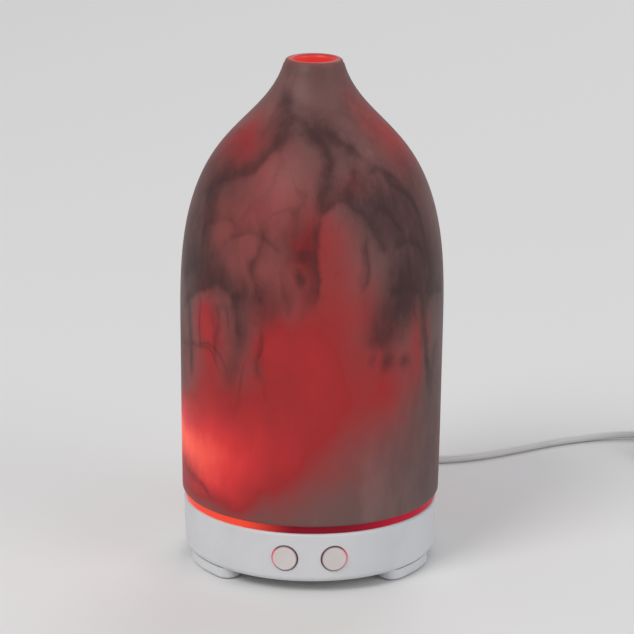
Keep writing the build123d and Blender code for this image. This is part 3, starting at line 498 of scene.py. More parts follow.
# Rounded bars on a straight row, or round a circle when Circle Radius is above zero.
def makeBarRow():
    group, tree, given, result = newGroup(
        "barRow",
        {"Count": 6, "Bar Size": (1, 1, 1), "Pitch": 1.7, "Circle Radius": 0.0, "Place": (0, 0, 0),
         "Material": None},
        {"Geometry": "Geometry"}, "Geometry",
    )
    bar = tree.make("GeometryNodeMeshCube", {"Size": given["Bar Size"], "Vertices Y": 3})
    smoothing = {"Mesh": bar.outputs["Mesh"], "Level": 2, "Edge Crease": 0.55}
    rounded = tree.make("GeometryNodeSubdivisionSurface", smoothing)
    index = tree.add("GeometryNodeInputIndex").outputs[0]
    around = tree.times(index, tree.math("DIVIDE", 2 * math.pi, given["Count"]))
    circular = tree.math("GREATER_THAN", given["Circle Radius"], 0.0)
    spot = tree.make("ShaderNodeCombineXYZ", {
        "X": tree.times(tree.math("SINE", around), given["Circle Radius"]),
        "Y": tree.times(tree.times(index, given["Pitch"]), tree.minus(1.0, circular)),
        "Z": tree.times(tree.math("COSINE", around), given["Circle Radius"]),
    })
    row = tree.make("GeometryNodePoints", {"Count": given["Count"], "Position": spot.outputs[0]})
    lean = tree.make("ShaderNodeCombineXYZ", {"Y": tree.times(around, circular)})
    copies = tree.make("GeometryNodeInstanceOnPoints", {
        "Points": row.outputs[0], "Instance": rounded.outputs[0], "Rotation": lean.outputs[0],
    })
    laid = tree.make("GeometryNodeTransform", {
        "Geometry": copies.outputs[0], "Translation": given["Place"], "Scale": (mm, mm, mm),
    })
    endTree(tree, given, result, laid.outputs[0])
    return group


def inMetres(place):
    return tuple(value * mm for value in place)


ribbedRelief = makeRibbedRelief()
barRow = makeBarRow()
for name, group, replaced in (
    ("plugRelief", ribbedRelief, ("plug_relief",)),
    ("usbRelief", ribbedRelief, ("usb_relief",)),
    ("plugFlutes", barRow, ()),
    ("usbGrip", barRow, ()),
):
    values = {**leadPieces[name], "Place": inMetres(leadPieces[name]["Place"]), "Material": cordWhite}
    mesh = grownMesh(name, group, values)
    addPiece(name, mesh, "root", replaced)


def roundedRectangle(width, height, corner, steps=5):
    points = []
    for index, (side, up) in enumerate(((1, 1), (-1, 1), (-1, -1), (1, -1))):
        for count in range(steps + 1):
            angle = math.radians(90 * index + 90 * count / steps)
            across = side * (width / 2 - corner) + corner * math.cos(angle)
            points.append((across, up * (height / 2 - corner) + corner * math.sin(angle)))
    return points


# A straight tube along Y between two outlines in X and Z, in millimetres.
def hollowSection(name, outside, inside, start, end):
    count = len(outside)
    loops = [(outside, start), (outside, end), (inside, end), (inside, start)]
    points = [(x * mm, y * mm, z * mm) for outline, y in loops for x, z in outline]
    faces = []
    for ring in range(4):
        near, far = ring * count, (ring + 1) % 4 * count
        for index in range(count):
            after = (index + 1) % count
            faces.append((near + index, near + after, far + after, far + index))
    mesh = bpy.data.meshes.new(name)
    mesh.from_pydata(points, [], faces)
    mesh.update()
    return mesh


def facingOut(mesh):
    shape = bmesh.new()
    shape.from_mesh(mesh)
    bmesh.ops.remove_doubles(shape, verts=shape.verts, dist=1e-7)
    bmesh.ops.recalc_face_normals(shape, faces=shape.faces)
    shape.to_mesh(mesh)
    shape.free()


# A rounded rectangle moved to its place in X and Z.
def outlineAt(middle, width, height, corner, steps=5):
    return [(x + middle[0], z + middle[1]) for x, z in roundedRectangle(width, height, corner, steps)]


shellFacts = leadPieces["shell"]
wide, long, high = shellFacts["size"]
middleX, middleZ = shellFacts["middle"]
lost = 2 * shellFacts["wall"]
outer = outlineAt(shellFacts["middle"], wide, high, shellFacts["corner"])
inner = outlineAt(shellFacts["middle"], wide - lost, high - lost, shellFacts["innerCorner"])
shellMesh = hollowSection("usbShell", outer, inner, shellFacts["start"], shellFacts["start"] - long)
facingOut(shellMesh)
shell = placed("usbShell", shellMesh)
cutMesh = bpy.data.meshes.new("usbWindows")
cutShape = bmesh.new()
for x, y in leadPieces["windows"]["places"]:
    spot = Matrix.Translation(inMetres((middleX + x, y, middleZ)))
    size = Matrix.Diagonal((*inMetres(leadPieces["windows"]["size"]), 1))
    bmesh.ops.create_cube(cutShape, size=1.0, matrix=spot @ size)
cutShape.to_mesh(cutMesh)
cutShape.free()
cutter = placed("usbWindows", cutMesh)
windows = shell.modifiers.new("windows", "BOOLEAN")
windows.operation = "DIFFERENCE"
windows.solver = "EXACT"
windows.object = cutter
shellMesh = bakedMesh(shell, "usbShell")
bpy.data.objects.remove(cutter)
for polygon in shellMesh.polygons:
    polygon.use_smooth = False
usbShell = addPiece("usbShell", shellMesh, "root", ("usb_shell",))

tieFacts = leadPieces["tie"]
lapFacts = leadPieces["tieLap"]
tieWide, tieHigh = tieFacts["right"] - tieFacts["left"], tieFacts["high"] - tieFacts["low"]
tieMiddle = (tieFacts["right"] + tieFacts["left"]) / 2, (tieFacts["high"] + tieFacts["low"]) / 2
thick = tieFacts["thickness"]
tieStart, tieEnd = (tieFacts["y"] + side * tieFacts["width"] / 2 for side in (-1, 1))
inner = outlineAt(tieMiddle, tieWide, tieHigh, tieFacts["corner"], 8)
outer = outlineAt(tieMiddle, tieWide + 2 * thick, tieHigh + 2 * thick, tieFacts["corner"] + thick, 8)
tieMesh = hollowSection("coilTie", outer, inner, tieStart, tieEnd)
flap = bmesh.new()
flap.from_mesh(tieMesh)
lapTop = tieFacts["high"] + 2 * thick + lapFacts["rise"]
spot = Matrix.Translation(inMetres((tieMiddle[0] + lapFacts["shift"], tieFacts["y"], lapTop - thick / 2)))
lapSize = (tieWide - lapFacts["shorter"], tieFacts["width"] - lapFacts["narrower"], thick)
bmesh.ops.create_cube(flap, size=1.0, matrix=spot @ Matrix.Diagonal((*inMetres(lapSize), 1)))
flap.to_mesh(tieMesh)
flap.free()
facingOut(tieMesh)
tie = placed("coilTie", tieMesh)
soft = tie.modifiers.new("softEdges", "BEVEL")
soft.width = tieFacts["softness"] * mm
soft.segments = 2
coilTie = addPiece("coilTie", bakedMesh(tie, "coilTie"), "root", ("coil_tie",))

print("power lead laid:", len(cordPoints), "points")


# A curve of even curvature through the knots, as (radius, height) points.
def smoothProfile(knots, startSlope, endSlope, count):
    knots = np.array(knots, dtype=float)
    gaps = np.linalg.norm(np.diff(knots, axis=0), axis=1)
    places = np.concatenate([[0.0], np.cumsum(gaps)])
    size = len(knots)
    system = np.zeros((size, size))
    wanted = np.zeros((size, 2))
    system[0, 0] = system[-1, -1] = 1
    wanted[0] = np.array(startSlope) / np.linalg.norm(startSlope)
    wanted[-1] = np.array(endSlope) / np.linalg.norm(endSlope)
    for row in range(1, size - 1):
        before, after = gaps[row - 1], gaps[row]
        system[row, row - 1:row + 2] = after, 2 * (before + after), before
        rise = after / before * (knots[row] - knots[row - 1]) + before / after * (knots[row + 1] - knots[row])
        wanted[row] = 3 * rise
    slopes = np.linalg.solve(system, wanted)
    points = []
    for place in np.linspace(0, places[-1], count):
        span = min(np.searchsorted(places, place, side="right") - 1, size - 2)
        length = gaps[span]
        share = (place - places[span]) / length
        square, cube = share**2, share**3
        points.append(
            (2 * cube - 3 * square + 1) * knots[span]
            + (cube - 2 * square + share) * length * slopes[span]
            + (3 * square - 2 * cube) * knots[span + 1]
            + (cube - square) * length * slopes[span + 1]
        )
    return np.array(points)


# The same line moved towards the axis by a wall's thickness.
def offsetProfile(points, distance):
    ways = np.gradient(points, axis=0)
    ways /= np.linalg.norm(ways, axis=1)[:, None]
    return points + np.column_stack([-ways[:, 1], ways[:, 0]]) * distance


def roundedCorner(centre, radius, fromAngle, toAngle, count=7):
    angles = np.radians(np.linspace(fromAngle, toAngle, count))
    return [(centre[0] + radius * math.cos(a), centre[1] + radius * math.sin(a)) for a in angles]


# Turns a closed outline (radius, height) about the axis.
def makeTurnedTree():
    inputs = {"Steps": 240, "Rail Radius": 0.001, "Material": None}
    group, tree, given, result = newGroup("turnedBody", inputs, {"Geometry": "Geometry"}, "Geometry")
    size = {"Resolution": given["Steps"], "Radius": given["Rail Radius"]}
    rail = tree.make("GeometryNodeCurvePrimitiveCircle", size, mode="RADIUS")
    level = tree.make("GeometryNodeSetCurveNormal", {"Curve": rail.outputs["Curve"]}, mode="Z_UP")
    curves = {"Curve": level.outputs["Curve"], "Profile Curve": given["Geometry"]}
    sweep = tree.make("GeometryNodeCurveToMesh", curves)
    smooth = tree.make("GeometryNodeSetShadeSmooth", {"Geometry": sweep.outputs["Mesh"]})
    joining = {"Geometry": smooth.outputs["Geometry"], "Distance": 0.000002}
    merged = tree.make("GeometryNodeMergeByDistance", joining)
    endTree(tree, given, result, merged.outputs[0])
    return group


turnedBody = makeTurnedTree()


# A plain mesh turned from a closed outline in millimetres.
def turned(name, outline, steps, material):
    railRadius = 1.0
    curve = bpy.data.curves.new(name + "Outline", "CURVE")
    curve.dimensions = "3D"
    line = curve.splines.new("POLY")
    line.points.add(len(outline) - 1)
    for point, (radius, height) in zip(line.points, reversed(outline)):
        point.co = ((radius - railRadius) * mm, -height * mm, 0, 1)
    line.use_cyclic_u = True
    holder = placed(name + "Outline", curve)
    modifier = holder.modifiers.new("turned", "NODES")
    modifier.node_group = turnedBody
    setInputs(modifier, {"Steps": steps, "Rail Radius": railRadius * mm, "Material": material})
    mesh = bakedMesh(holder, name)
    bpy.data.curves.remove(curve)
    return mesh


# Turned from one outline; wall and rounding in millimetres.
glassCover = {
    "foot": (44.4, 24.0),
    "waist": (44.98, 79.08),
    "height": 175.0,
    "neckRadius": 9.8,
    "fullRadius": 45.0,
    "wall": 3.0,
    "rounding": 1.3,
    "steps": 256,
    "shoulder": [(70, 0.988), (47, 0.873), (32, 0.667), (21, 0.396), (13, 0.185), (5, 0.045), (0, 0.0)],
    "milk": screenColour(106, 84, 80),  # unlit glass
    "cloud": screenColour(120, 96, 92),
    "smoke": screenColour(47, 28, 28),
    "litGlass": screenColour(98, 30, 32),
    "glow": (0.74, 0.028, 0.030, 1),
    "hotGlow": (0.78, 0.085, 0.050, 1),
    "liningGlow": (0.66, 0.035, 0.026),
    "roughness": 0.46,
}

# Wisps of smoke in the glass. "up" wisps give (height, degrees) and "round" ones (degrees, height);
# then the softness in millimetres on the low and the high side, and the darkness.
frontWisps = [
    ("up", [(113, -57), (120, -58), (127, -59), (132, -61), (137, -59)], 1.2, 3.2, 0.75),
    ("round", [(-70, 131), (-64, 134), (-60, 136), (-50, 139), (-44, 141), (-35, 143), (-30, 146),
        (-24, 151)], 1.8, 3.4, 0.8),
    ("up", [(144, -33), (146, -30), (150, -26), (154.5, -24), (158, -23), (161.5, -33),
        (168, -42)], 3.0, 2.2, 0.8),
    ("up", [(126, 2), (129, 3), (138, 6), (142, 8), (146.5, 10), (152, 4), (155, -2),
        (161, -16)], 2.2, 1.8, 0.75),
    ("round", [(-4, 157), (6, 155.5), (14, 153.5), (20, 151), (27, 149), (34, 147)], 2.6, 2.0, 0.6),
    ("round", [(2, 128), (4, 130), (11, 134), (16, 134.4), (20, 133), (24, 130), (29, 125),
        (33, 119)], 0.9, 3.2, 0.6),
    ("up", [(100, 1), (108, 1.5), (116, 2), (124, 2.5), (131, 4)], 2.6, 0.8, 0.75),
    ("up", [(133, 22), (136, 20), (140, 22), (145, 25)], 1.2, 1.2, 0.55),
    ("up", [(60, 65), (72, 62), (86, 58), (98, 57.5), (105, 62), (112, 62), (119, 61), (125, 60),
        (130, 56)], 2.0, 1.5, 0.75),
    ("round", [(40, 139), (47, 137), (53, 134), (58, 129), (62, 122)], 1.6, 4.0, 0.65),
    ("round", [(27, 128), (32, 131), (37, 130), (42, 126), (47, 121)], 1.2, 2.2, 0.6),
    ("up", [(115, 34), (119, 33), (123, 31), (127, 29), (131, 33)], 1.6, 1.6, 0.55),
    ("round", [(-76, 92), (-68, 96), (-60, 100), (-53, 102.5), (-48, 104.5), (-42, 105),
        (-38, 104), (-34, 100)], 1.0, 5.5, 0.85),
    ("round", [(-78, 101), (-70, 106), (-60, 111), (-50, 114), (-42, 113)], 3.4, 4.2, 0.55),
    ("round", [(32, 98), (34, 101), (37, 104), (42, 104.5), (48, 103.5), (54, 101),
        (60, 96)], 1.2, 4.8, 0.75),
    ("round", [(57, 92), (60, 97), (63, 100), (70, 99.5), (80, 96)], 1.2, 3.4, 0.65),
    ("up", [(67, -64.5), (74, -65), (84, -65.5), (92, -66.5), (101, -68)], 1.7, 1.7, 0.75),
    ("up", [(88, -33), (94, -34), (100, -35), (104, -37)], 1.0, 1.6, 0.6),
    ("round", [(-80, 35), (-73, 34.5), (-65, 34), (-57, 33), (-51, 30), (-46, 26)], 1.2, 1.2, 0.4),
    ("up", [(66, 66), (72, 66), (78, 68), (84, 72)], 1.8, 1.2, 0.4),
    ("up", [(98, -27), (106, -24), (114, -27), (122, -23), (130, -25)], 0.9, 2.0, 0.35),
    ("round", [(-44, 118), (-36, 122), (-27, 124), (-18, 121), (-12, 115)], 0.8, 2.6, 0.35),
    ("up", [(104, 22), (111, 25), (118, 24), (125, 27)], 1.6, 0.9, 0.35),
    ("round", [(38, 116), (45, 119), (52, 118), (58, 113), (61, 107)], 1.0, 2.6, 0.45),
    ("round", [(30, 142), (38, 143), (46, 141), (53, 137)], 1.2, 1.6, 0.4),
    ("up", [(76, -44), (84, -46), (92, -43), (99, -45)], 0.8, 1.1, 0.35),
    ("round", [(-82, 76.5), (-68, 80), (-58, 81.4), (-50.4, 81.6), (-45.6, 77.4),
        (-39, 70.5)], 0.6, 0.9, 0.36),
    ("round", [(-60, 81), (-52, 83.2), (-45.7, 82.4), (-37, 73.5)], 0.5, 0.6, 0.4),
    ("up", [(78, -55), (86, -57), (94, -55), (101, -58)], 0.6, 0.6, 0.35),
    ("up", [(72, -22), (80, -24), (88, -21), (95, -23)], 1.2, 0.8, 0.35),
    ("round", [(-58, 122), (-50, 126), (-42, 127), (-35, 124)], 1.0, 2.0, 0.35),
]
backWisps = [
    ("up", [(104, -38), (112, -41), (120, -38), (128, -40), (136, -33)], 3.0, 1.2, 0.7),
    ("round", [(-44, 134), (-34, 139), (-22, 142), (-10, 141), (2, 136), (12, 128)], 1.4, 4.0, 0.75),
    ("up", [(140, -8), (147, -12), (153, -6), (160, 6), (166, 16)], 2.4, 2.4, 0.7),
    ("round", [(-70, 99), (-60, 106), (-48, 109), (-36, 107), (-27, 99), (-24, 92)], 1.1, 5.0, 0.8),
    ("round", [(-6, 104), (4, 110), (14, 112), (26, 109), (34, 102), (38, 94)], 1.2, 5.2, 0.75),
    ("up", [(84, 5), (94, 7), (104, 4), (114, 9), (124, 8)], 1.2, 2.8, 0.6),
    ("up", [(70, 54), (84, 51), (98, 55), (112, 50), (126, 54), (138, 48)], 2.6, 1.2, 0.7),
    ("round", [(40, 118), (50, 124), (60, 126), (70, 122), (78, 114)], 1.3, 4.4, 0.65),
    ("up", [(58, -20), (70, -17), (82, -21), (92, -19)], 1.1, 1.4, 0.4),
    ("round", [(20, 150), (32, 147), (46, 146), (58, 141)], 2.2, 1.6, 0.55),
]
# Soft patches of smoke: degrees, height, reach in degrees, reach in millimetres, darkness.
smokePatches = [
    (-8, 155, 34, 6, 0.35), (-62, 138, 24, 9, 0.45), (-68, 118, 14, 14, 0.5), (-56, 108, 22, 6, 0.5),
    (-26, 104, 16, 5, 0.35), (30, 132, 12, 7, 0.6), (46, 128, 18, 10, 0.55), (56, 112, 16, 12, 0.55),
    (44, 101, 9, 8, 0.8), (72, 104, 16, 12, 0.4), (30, 94, 5.5, 7.5, 0.5), (38, 95, 7, 7, 0.5),
    (32, 88, 6.5, 3.6, 0.5), (27, 80.5, 2, 1.8, 0.25), (35.5, 80.4, 3, 3.2, 0.6),
    (43.6, 79, 2.6, 2.2, 0.5), (-34, 102.5, 2.2, 1.6, 0.9), (-22, 101.5, 1.5, 1.2, 0.6),
    (-4, 117, 2.6, 2.2, 0.8), (-5.5, 110, 1.6, 2.2, 0.7), (-6, 122, 7, 9, 0.4), (-32.5, 92, 5, 10, 0.55),
    (-36, 76, 4, 5, 0.4), (-20, 98, 6, 5, 0.3), (-78, 78, 9, 14, 0.5), (-78, 34, 16, 5, 0.4),
    (74, 50, 24, 40, 0.3), (8, 172, 40, 4, 0.2), (66, 140, 14, 7, 0.3), (14, 140, 14, 6, 0.25),
    (150, 152, 40, 7, 0.5), (-140, 128, 20, 9, 0.5), (172, 104, 20, 7, 0.5), (-168, 122, 9, 10, 0.4),
    (132, 96, 10, 9, 0.55), (-120, 60, 26, 22, 0.35), (150, 126, 22, 10, 0.35), (-160, 84, 10, 10, 0.35),
]
# Light from inside: degrees, height, reach in degrees, reach in millimetres, strength.
lightSpots = [
    (-90, 43, 34, 12, 0.80), (-58, 44, 36, 14, 0.46), (-42, 34, 20, 10, 0.20), (-30, 50, 34, 16, 0.26),
    (2, 72, 36, 26, 0.27), (-50, 68, 18, 18, 0.16), (36, 72, 15, 15, 0.12), (52, 84, 5, 14, 0.15),
    (61, 88, 3, 9, 0.08), (-54, 88, 9, 14, 0.14), (-20, 90, 9, 12, 0.12), (-74, 76, 8, 12, 0.08),
    (6, 106, 16, 20, 0.14), (24, 100, 7, 9, 0.08), (-20, 134, 18, 13, 0.13), (-28, 112, 18, 12, 0.08),
    (-48, 92, 9, 12, 0.14), (-58, 149, 26, 8.5, 0.20), (72, 152, 20, 11, 0.19), (50, 158, 12, 7, 0.06),
    (4, 124, 12, 12, 0.09), (-8, 88, 14, 12, 0.06), (0, 150, 180, 46, 0.045), (24, 138, 9, 5, 0.07),
    (-4, 119, 4, 8, 0.10), (-46, 126, 14, 12, 0.08), (150, 46, 42, 16, 0.62), (-152, 46, 34, 14, 0.34),
    (180, 80, 44, 28, 0.28), (150, 144, 24, 10, 0.16), (-132, 148, 22, 9, 0.16), (112, 60, 22, 22, 0.16),
    (170, 112, 22, 16, 0.12), (-150, 100, 16, 14, 0.10),
]


curveHeight = 200  # millimetres that a wisp's curve spans; its angles span a full turn


def wispMask(tree, place, angleSocket, wisp):
    way, points, lowSide, highSide, darkness = wisp
    curve = tree.add("ShaderNodeFloatCurve")
    line = curve.mapping.curves[0]
    if way == "up":
        shares = [(height / curveHeight, 0.5 + angle / 360) for height, angle in points]
        alongSocket = place["Height"]
        alongShare = tree.math("DIVIDE", alongSocket, curveHeight)
    else:
        shares = [(0.5 + angle / 360, height / curveHeight) for angle, height in points]
        alongSocket = angleSocket
        alongShare = tree.math("MULTIPLY_ADD", alongSocket, 1 / 360, 0.5)
    line.points[0].location = shares[0]
    line.points[1].location = shares[-1]
    for share in shares[1:-1]:
        line.points.new(*share)
    curve.mapping.update()
    tree.put(curve.inputs["Value"], alongShare)
    if way == "up":
        lineAngle = tree.math("MULTIPLY_ADD", curve.outputs[0], 360.0, -180.0)
        turn = tree.minus(angleSocket, lineAngle)
        distance = tree.times(turn, tree.times(place["Radius"], math.pi / 180))
    else:
        distance = tree.math("MULTIPLY_ADD", curve.outputs[0], -curveHeight, place["Height"])
    start, end = points[0][0], points[-1][0]
    wispNode = tree.group(smokeLine, {
        "Distance": distance, "Along": alongSocket, "Start": start, "End": end, "Strength": darkness,
        "Fade": 0.22 * (end - start), "Low Side": lowSide, "High Side": highSide,
    })
    return wispNode["Mask"]


def patchMask(tree, place, patch):
    values = {"Angle": place["Angle"], "Height": place["Height"]}
    labels = ("Spot Angle", "Spot Height", "Angle Reach", "Height Reach", "Strength")
    values.update(zip(labels, patch))
    return tree.group(lightPool, values)["Light"]


# The masks added up.
def total(tree, masks):
    amount = masks[0]
    for mask in masks[1:]:
        amount = tree.plus(amount, mask)
    return amount


def makeMarbledGlass():
    material, tree, shader = newMaterial("marbledGlass")
    place = tree.group(surfaceMap, {"Drift": 5.0, "Fray": 2.2})
    calm = tree.group(surfaceMap, {"Drift": 11.0, "Fray": 1.2})
    objectPlace = tree.objectPlace()
    backAngle = tree.math("WRAP", tree.plus(place["Angle"], 180.0), 180.0, -180.0)

    stretched = tree.stretched(objectPlace, (1, 1, 0.42))
    patchy = tree.noise(stretched, 95.0, 4.0, 0.6, 1.3)
    thin = tree.noise(stretched, 40.0, 6.0, 0.62, 5.2)
    strands = tree.spread(tree.math("ABSOLUTE", tree.minus(thin, 0.5)), 0.0, 0.06, 0.14, 0.0)
    strands = tree.times(strands, tree.spread(place["True Height"], 85.0, 120.0))

    # Fine threads that run down the glass.
    ridge = tree.noise(tree.stretched(objectPlace, (1, 1, 0.3)), 62.0, 1.6, 0.45, 14.3)
    threads = tree.spread(tree.math("ABSOLUTE", tree.minus(ridge, 0.5)), 0.0, 0.021, 0.24, 0.0)
    where = tree.spread(tree.noise(objectPlace, 60.0, 2.0, 0.5, 9.7), 0.45, 0.62)
    band = tree.spread(place["True Height"], 56.0, 76.0)
    band = tree.times(band, tree.spread(place["True Height"], 132.0, 148.0, 1.0, 0.0))
    strands = tree.plus(strands, tree.times(tree.times(threads, where), band))

    wisps = [wispMask(tree, place, place["Angle"], wisp) for wisp in frontWisps]
    wisps += [wispMask(tree, place, backAngle, wisp) for wisp in backWisps]
    wisps += [patchMask(tree, place, patch) for patch in smokePatches]
    broken = tree.spread(patchy, 0.28, 0.66, 0.8, 1.45)
    ragged = tree.noise(stretched, 260.0, 4.0, 0.62, 7.4)
    broken = tree.times(broken, tree.spread(ragged, 0.3, 0.68, 0.68, 1.36))
    smokeAmount = tree.math("MULTIPLY_ADD", total(tree, wisps), broken, strands)
    smoke = tree.minus(1.0, tree.math("EXPONENT", tree.times(smokeAmount, -1.5)))

    # Painted light from inside: the lit spots tint the base colour red and drive the emission, weaker where
    # the smoke is thick.
    lit = total(tree, [patchMask(tree, calm, spot) for spot in lightSpots])
    lit = tree.times(lit, tree.spread(patchy, 0.25, 0.75, 0.86, 1.12))

    milk = tree.mix(tree.spread(patchy, 0.42, 0.72), glassCover["milk"], glassCover["cloud"])
    litTinted = tree.mix(tree.spread(lit, 0.0, 0.27, smooth=False), milk, glassCover["litGlass"])
    smoked = tree.mix(tree.times(smoke, 0.86), litTinted, glassCover["smoke"])
    glowColour = tree.mix(tree.spread(lit, 0.6, 1.15), glassCover["glow"], glassCover["hotGlow"])
    clear = tree.math("MULTIPLY_ADD", smoke, -0.8, 1.0)
    # Painted glow round the mouth's rim, brightest on its inner edge.
    mouthGlow = tree.spread(place["True Height"], 173.2, 174.6)
    mouthGlow = tree.times(mouthGlow, tree.spread(place["Radius"], 8.2, 9.4, 0.42, 0.05))
    tree.glow(shader, glowColour, tree.plus(tree.times(lit, clear), mouthGlow))

    satin = tree.noise(objectPlace, 700.0, 2.0, 0.5, 2.0)
    roughness = tree.math("MULTIPLY_ADD", satin, 0.08, glassCover["roughness"] - 0.04)
    roughness = tree.math("MULTIPLY_ADD", smoke, 0.04, roughness)
    looks = {"Base Color": smoked, "Roughness": roughness, "IOR": 1.4, "Specular IOR Level": 0.3}
    tree.fill(shader, looks)
    tree.bump(shader, 0.08, 0.0004, tree.noise(objectPlace, 160.0, 3.0, 0.5, 6.0))
    return material


# The inside of the glass: a dark red base that is painted lit tone, and a painted glow that is bright where
# the light collects under the mouth.
def makeGlassLining():
    material, tree, shader = newMaterial("glassLining")
    place = tree.group(surfaceMap, {"Drift": 4.0, "Fray": 1.0})
    patchy = tree.noise(tree.objectPlace(), 60.0, 3.0, 0.5, 8.0)
    mouth = tree.spread(place["True Height"], 150.0, 164.0)
    amount = tree.math("MULTIPLY_ADD", mouth, 0.75, tree.spread(patchy, 0.3, 0.7, 0.12, 0.26))
    amount = tree.times(amount, tree.spread(place["True Height"], 174.2, 174.9, 1.0, 0.5))
    colour = tree.mix(patchy, screenColour(104, 30, 32), screenColour(84, 22, 26))
    tree.fill(shader, {"Base Color": colour, "Roughness": tree.spread(patchy, 0.2, 0.8, 0.38, 0.5)})
    tree.glow(shader, glassCover["liningGlow"], amount)
    return material


def glassOutline():
    rim = glassCover["height"]
    neck, full, wall, corner = (glassCover[key] for key in ("neckRadius", "fullRadius", "wall", "rounding"))
    shoulder = [(neck + share * (full - neck), rim - drop) for drop, share in glassCover["shoulder"]]
    outside = smoothProfile([glassCover["foot"], glassCover["waist"], *shoulder], (0.02, 1), (-0.2, 1), 84)
    inside = offsetProfile(outside, wall)
    foot = glassCover["foot"][1]
    trimmed = [tuple(p) for p in outside if foot + corner < p[1] < rim - corner]
    lining = [tuple(p) for p in inside[::-2] if foot + corner < p[1] < rim - corner]
    footRadius, mouthRadius = outside[0][0], inside[-1][0]
    return (
        trimmed
        + roundedCorner((neck - corner, rim - corner), corner, 0, 90)
        + roundedCorner((mouthRadius + corner, rim - corner), corner, 90, 180)
        + lining
        + roundedCorner((footRadius - wall + corner, foot + corner), corner, 180, 270)
        + roundedCorner((footRadius - corner, foot + corner), corner, 270, 360)
    )


marbledGlass = makeMarbledGlass()
glassLining = makeGlassLining()
glassMesh = turned("marbledCover", glassOutline(), glassCover["steps"], marbledGlass)
glassMesh.materials.append(glassLining)
for polygon in glassMesh.polygons:
    outwards = Vector((polygon.center.x, polygon.center.y, 0)).normalized()
    if outwards.dot(polygon.normal) < -0.35:
        polygon.material_index = 1
addPiece("marbledCover", glassMesh, "glass_cover", ("glass_cover", "glass_shoulder"))
print("glass cover turned:", len(glassMesh.polygons), "faces")


lightRing = {
    "radius": 43.2, "bore": 39.0, "foot": 21.5, "top": 24.0, "lipRadius": 40.8, "lipTop": 28.0,
    "edge": 0.3, "lipChamfer": 0.72, "steps": 256,
    "brightGlow": (0.84, 0.062, 0.030, 1), "dimGlow": (0.15, 0.0, 0.009, 1), "red": (0.34, 0.002, 0.020, 1),
}


def makeRingGlow():
    material, tree, shader = newMaterial("ringGlow")
    place = tree.group(surfaceMap, {"Drift": 2.0, "Fray": 0.0})
    angle = place["Angle"]
    # Painted glow: the emission runs from bright orange at the front left through dim crimson at the front
    # middle to red at the right, drifts between red and orange behind, and drops to about a third inside 42
    # mm radius, on the lip.
    front = tree.mix(tree.spread(angle, -34.0, -6.0), lightRing["brightGlow"], lightRing["dimGlow"])
    front = tree.mix(tree.spread(angle, 12.0, 44.0), front, lightRing["red"])
    behind = tree.spread(tree.math("ABSOLUTE", angle), 96.0, 130.0)
    drift = tree.noise(tree.objectPlace(), 26.0, 2.0, 0.5, 4.0)
    backGlow = tree.mix(tree.spread(drift, 0.35, 0.65), lightRing["red"], lightRing["brightGlow"])
    inner = tree.spread(place["Radius"], 42.0, 42.8, 0.35, 1.0)
    tree.glow(shader, tree.mix(behind, front, backGlow), inner)
    colour = tree.mix(drift, screenColour(78, 14, 20), screenColour(66, 10, 16))
    roughness = tree.spread(drift, 0.2, 0.8, 0.34, 0.46)
    looks = {"Base Color": colour, "Roughness": roughness, "IOR": 1.35, "Specular IOR Level": 0.25}
    tree.fill(shader, looks)
    return material


def ringOutline():
    radius, foot, top, edge = (lightRing[key] for key in ("radius", "foot", "top", "edge"))
    lipRadius, lipTop, chamfer = (lightRing[key] for key in ("lipRadius", "lipTop", "lipChamfer"))
    bore = lightRing["bore"]
    return (
        roundedCorner((radius - edge, foot + edge), edge, -90, 0, 4)
        + roundedCorner((radius - edge, top - edge), edge, 0, 90, 4)
        + [(lipRadius, top), (lipRadius, lipTop - chamfer), (lipRadius - chamfer, lipTop)]
        + [(bore, lipTop), (bore, foot)]
    )
ringMesh = turned("litRing", ringOutline(), lightRing["steps"], makeRingGlow())
addPiece("litRing", ringMesh, "root", ("light_ring",))
print("light ring turned")


innerCover = {
    "foot": 52.0, "straightTop": 78.0, "domeTop": 112.0, "top": 140.0, "radius": 37.9, "bore": 36.3,
    "chimney": 8.5, "wall": 1.6, "waist": (26.2, 97.04), "edge": 0.3, "groove": (34.7, 64.0, 65.2),
    "steps": 192,
}


def innerOutline():
    radius, foot, top, bore = (innerCover[key] for key in ("radius", "foot", "top", "bore"))
    chimney, wall, edge = (innerCover[key] for key in ("chimney", "wall", "edge"))
    knots = [(radius, innerCover["straightTop"]), innerCover["waist"], (chimney, innerCover["domeTop"])]
    dome = smoothProfile(knots, (0, 1), (0, 1), 34)
    grooveRadius, grooveLow, grooveHigh = innerCover["groove"]
    return [
        (radius - edge, foot),
        (radius, foot + edge),
        *map(tuple, dome),
        (chimney, top - edge),
        (chimney - edge, top),
        (chimney - wall + edge, top),
        (chimney - wall, top - edge),
        *map(tuple, offsetProfile(dome, wall)[::-1]),
        (bore, grooveHigh),
        (grooveRadius, grooveHigh),
        (grooveRadius, grooveLow),
        (bore, grooveLow),
        (bore, foot),
    ]


# Milky polypropylene that lets some light through.
def makeFrostedPlastic(name, colour, seed):
    through = {"Subsurface Weight": 0.25, "Subsurface Scale": 0.004}
    return mouldedPlastic(name, colour, 0.36, 2.0, 0.05, 0.02, seed, through)


innerFrost = makeFrostedPlastic("innerFrost", screenColour(226, 222, 220), 11.0)
tankFrost = makeFrostedPlastic("tankFrost", screenColour(222, 224, 224), 12.0)
innerMesh = turned("frostedDome", innerOutline(), innerCover["steps"], innerFrost)
addPiece("frostedDome", innerMesh, "inner_cover", ("inner_cover",))
print("inner cover turned")


